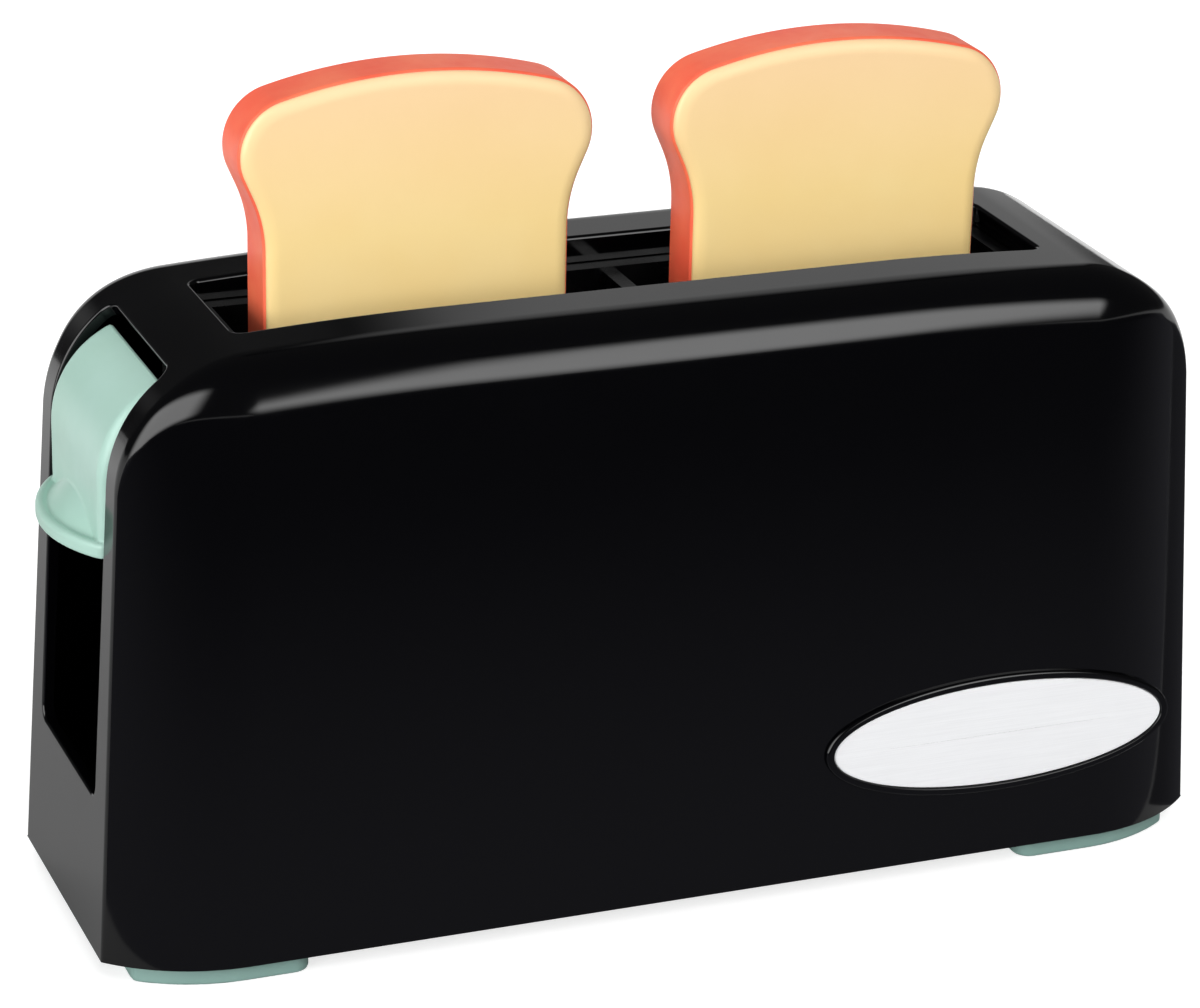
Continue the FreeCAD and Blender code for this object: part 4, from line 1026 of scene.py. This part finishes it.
def panel(name, azimuth, elevation, size, strength, soft, lean=0.0):
    """Reflector that only gloss shows, facing the toy. Azimuth runs from the front to the right. Its light
    fades out over the outer part soft of each half, and lean turns it in its own plane."""
    mat = bpy.data.materials.new(name)
    tree = empty_tree(mat)
    split = object_coords(tree, "ShaderNodeSeparateXYZ")
    level = strength
    for axis in (0, 1):
        off = math_node(tree, "ABSOLUTE", split.outputs[axis], 0.0)
        level = math_node(tree, "MULTIPLY", level, ramp_node(tree, off, 0.5 - 0.5 * soft, 0.5, 1.0, 0.0))
    output(tree, emission(tree, level))
    obj = plane(name, [(-0.5, -0.5, 0), (0.5, -0.5, 0), (0.5, 0.5, 0), (-0.5, 0.5, 0)], mat)
    a, e = math.radians(azimuth), math.radians(elevation)
    way = Vector((math.sin(a) * math.cos(e), -math.cos(a) * math.cos(e), math.sin(e)))
    obj.location = PANEL_AIM + PANEL_DISTANCE * way
    look(obj, PANEL_AIM)
    obj.rotation_quaternion = obj.rotation_quaternion @ Quaternion((0, 0, 1), math.radians(lean))
    obj.scale = (size[0], size[1], 1.0)
    gloss_only(obj)


def ray_levels(tree, other, **levels):
    """Strength for each kind of ray, by the names of Light Path's outputs. Each level is a value and a
    socket that scales it, or None."""
    path = tree.nodes.new("ShaderNodeLightPath")
    total = other
    for key, (value, shade) in levels.items():
        gain = math_node(tree, "MULTIPLY", path.outputs["Is " + key + " Ray"], value - other)
        if shade is not None:
            gain = math_node(tree, "MULTIPLY", gain, shade)
        total = math_node(tree, "ADD", total, gain)
    return total


FLOOR, FLOOR_WHITE, FLOOR_GLOSS = 0.55, 0.72, 0.5
FLOOR_HALF = 6.0


def make_floor():
    """Pale floor that reads as white and keeps the toy's shadow. Gloss sees it darker close to the toy."""
    mat = bpy.data.materials.new("floor_pale")
    tree = empty_tree(mat)
    base = tree.nodes.new("ShaderNodeBsdfDiffuse")
    base.inputs["Color"].default_value = (FLOOR, FLOOR, FLOOR, 1)
    reach = object_coords(tree, "ShaderNodeVectorMath")
    reach.operation = "LENGTH"
    far = ramp_node(tree, reach.outputs["Value"], 0.16, 0.45, 0.0, 1.0)
    glow = emission(tree, ray_levels(tree, 0.0, Camera=(FLOOR_WHITE, None), Transmission=(FLOOR_WHITE, None),
                                     Glossy=(FLOOR_GLOSS, far)))
    both = tree.nodes.new("ShaderNodeAddShader")
    tree.links.new(base.outputs[0], both.inputs[0])
    tree.links.new(glow.outputs[0], both.inputs[1])
    output(tree, both)
    size = FLOOR_HALF
    plane("floor", [(-size, -size, 0), (size, -size, 0), (size, size, 0), (-size, size, 0)], mat)


CARD_COLOR, CARD_Z = (0.88, 0.88, 1.0, 1), 0.0004
CARD_FAR, CARD_NEAR = -0.32, -0.03           # Y where a card has its two levels


def make_dark_card(name, x_range, y_range, far_level, near_level):
    """Black card on the floor, shown by gloss alone."""
    mat = bpy.data.materials.new(name)
    tree = empty_tree(mat)
    split = object_coords(tree, "ShaderNodeSeparateXYZ")
    level = ramp_node(tree, split.outputs[1], CARD_FAR, CARD_NEAR, far_level, near_level)
    output(tree, emission(tree, level, CARD_COLOR))
    (x0, x1), (y0, y1), z = x_range, y_range, CARD_Z
    gloss_only(plane(name, [(x0, y0, z), (x1, y0, z), (x1, y1, z), (x0, y1, z)], mat))


WORLD_LIGHT, WORLD_WHITE, WORLD_GLOSS = 0.42, 1.0, 0.05


def make_world():
    """Soft even light that the camera sees as white."""
    world = bpy.data.worlds.new("studio")
    bpy.context.scene.world = world
    tree = empty_tree(world)
    back = tree.nodes.new("ShaderNodeBackground")
    level = ray_levels(tree, WORLD_LIGHT, Camera=(WORLD_WHITE, None), Transmission=(WORLD_WHITE, None),
                       Glossy=(WORLD_GLOSS, None))
    tree.links.new(level, back.inputs["Strength"])
    output(tree, back, "World")


make_floor()
make_dark_card("dark_card", (-1.2, 1.2), (-1.6, -0.037), 0.03, 0.17)
make_dark_card("dark_card_right", (0.104, 0.6), (-0.036, 0.17), 0.08, 0.08)
make_world()
area("front_soft", (0.15, -1.05, 0.95), (0.0, 0.0, 0.09), (1.2, 0.9), 3.0)
area("left_soft", (-1.25, -0.72, 0.26), (0.0, 0.0, 0.10), (0.9, 0.7), 7.8)
area("top_soft", (-0.1, 0.2, 1.35), (0.0, 0.0, 0.05), (1.0, 0.8), 1.0)
area("back_soft", (0.5, 1.15, 0.55), (0.0, 0.0, 0.09), (1.2, 0.9), 2.0)
panel("left_panel", -72, 22, (1.75, 1.8), 3.8, 0.5, lean=30)
panel("front_panel", 24, 21, (0.7, 1.35), 4.2, 0.6, lean=-30)
panel("back_panel", 153, 20, (0.55, 1.5), 0.5, 0.5)
panel("back_low_panel", 180, 2, (1.4, 0.9), 0.8, 0.5)

# Pose and focal length are fitted to the edges of the housing in the photograph.
cam_data = bpy.data.cameras.new("camera")
cam_data.sensor_width = 36.0
cam_data.lens = 128.98
cam_data.clip_end = 20.0
cam = bpy.data.objects.new("camera", cam_data)
bpy.context.scene.collection.objects.link(cam)
cam.matrix_world = Matrix((
    (0.93296772, 0.1139372, -0.34145211, -0.25606104),
    (-0.35929338, 0.35246777, -0.86410343, -0.63788695),
    (0.02189733, 0.92886209, 0.36977793, 0.33630958),
    (0.0, 0.0, 0.0, 1.0)))
bpy.context.scene.camera = cam
bpy.context.scene.view_settings.view_transform = "Standard"
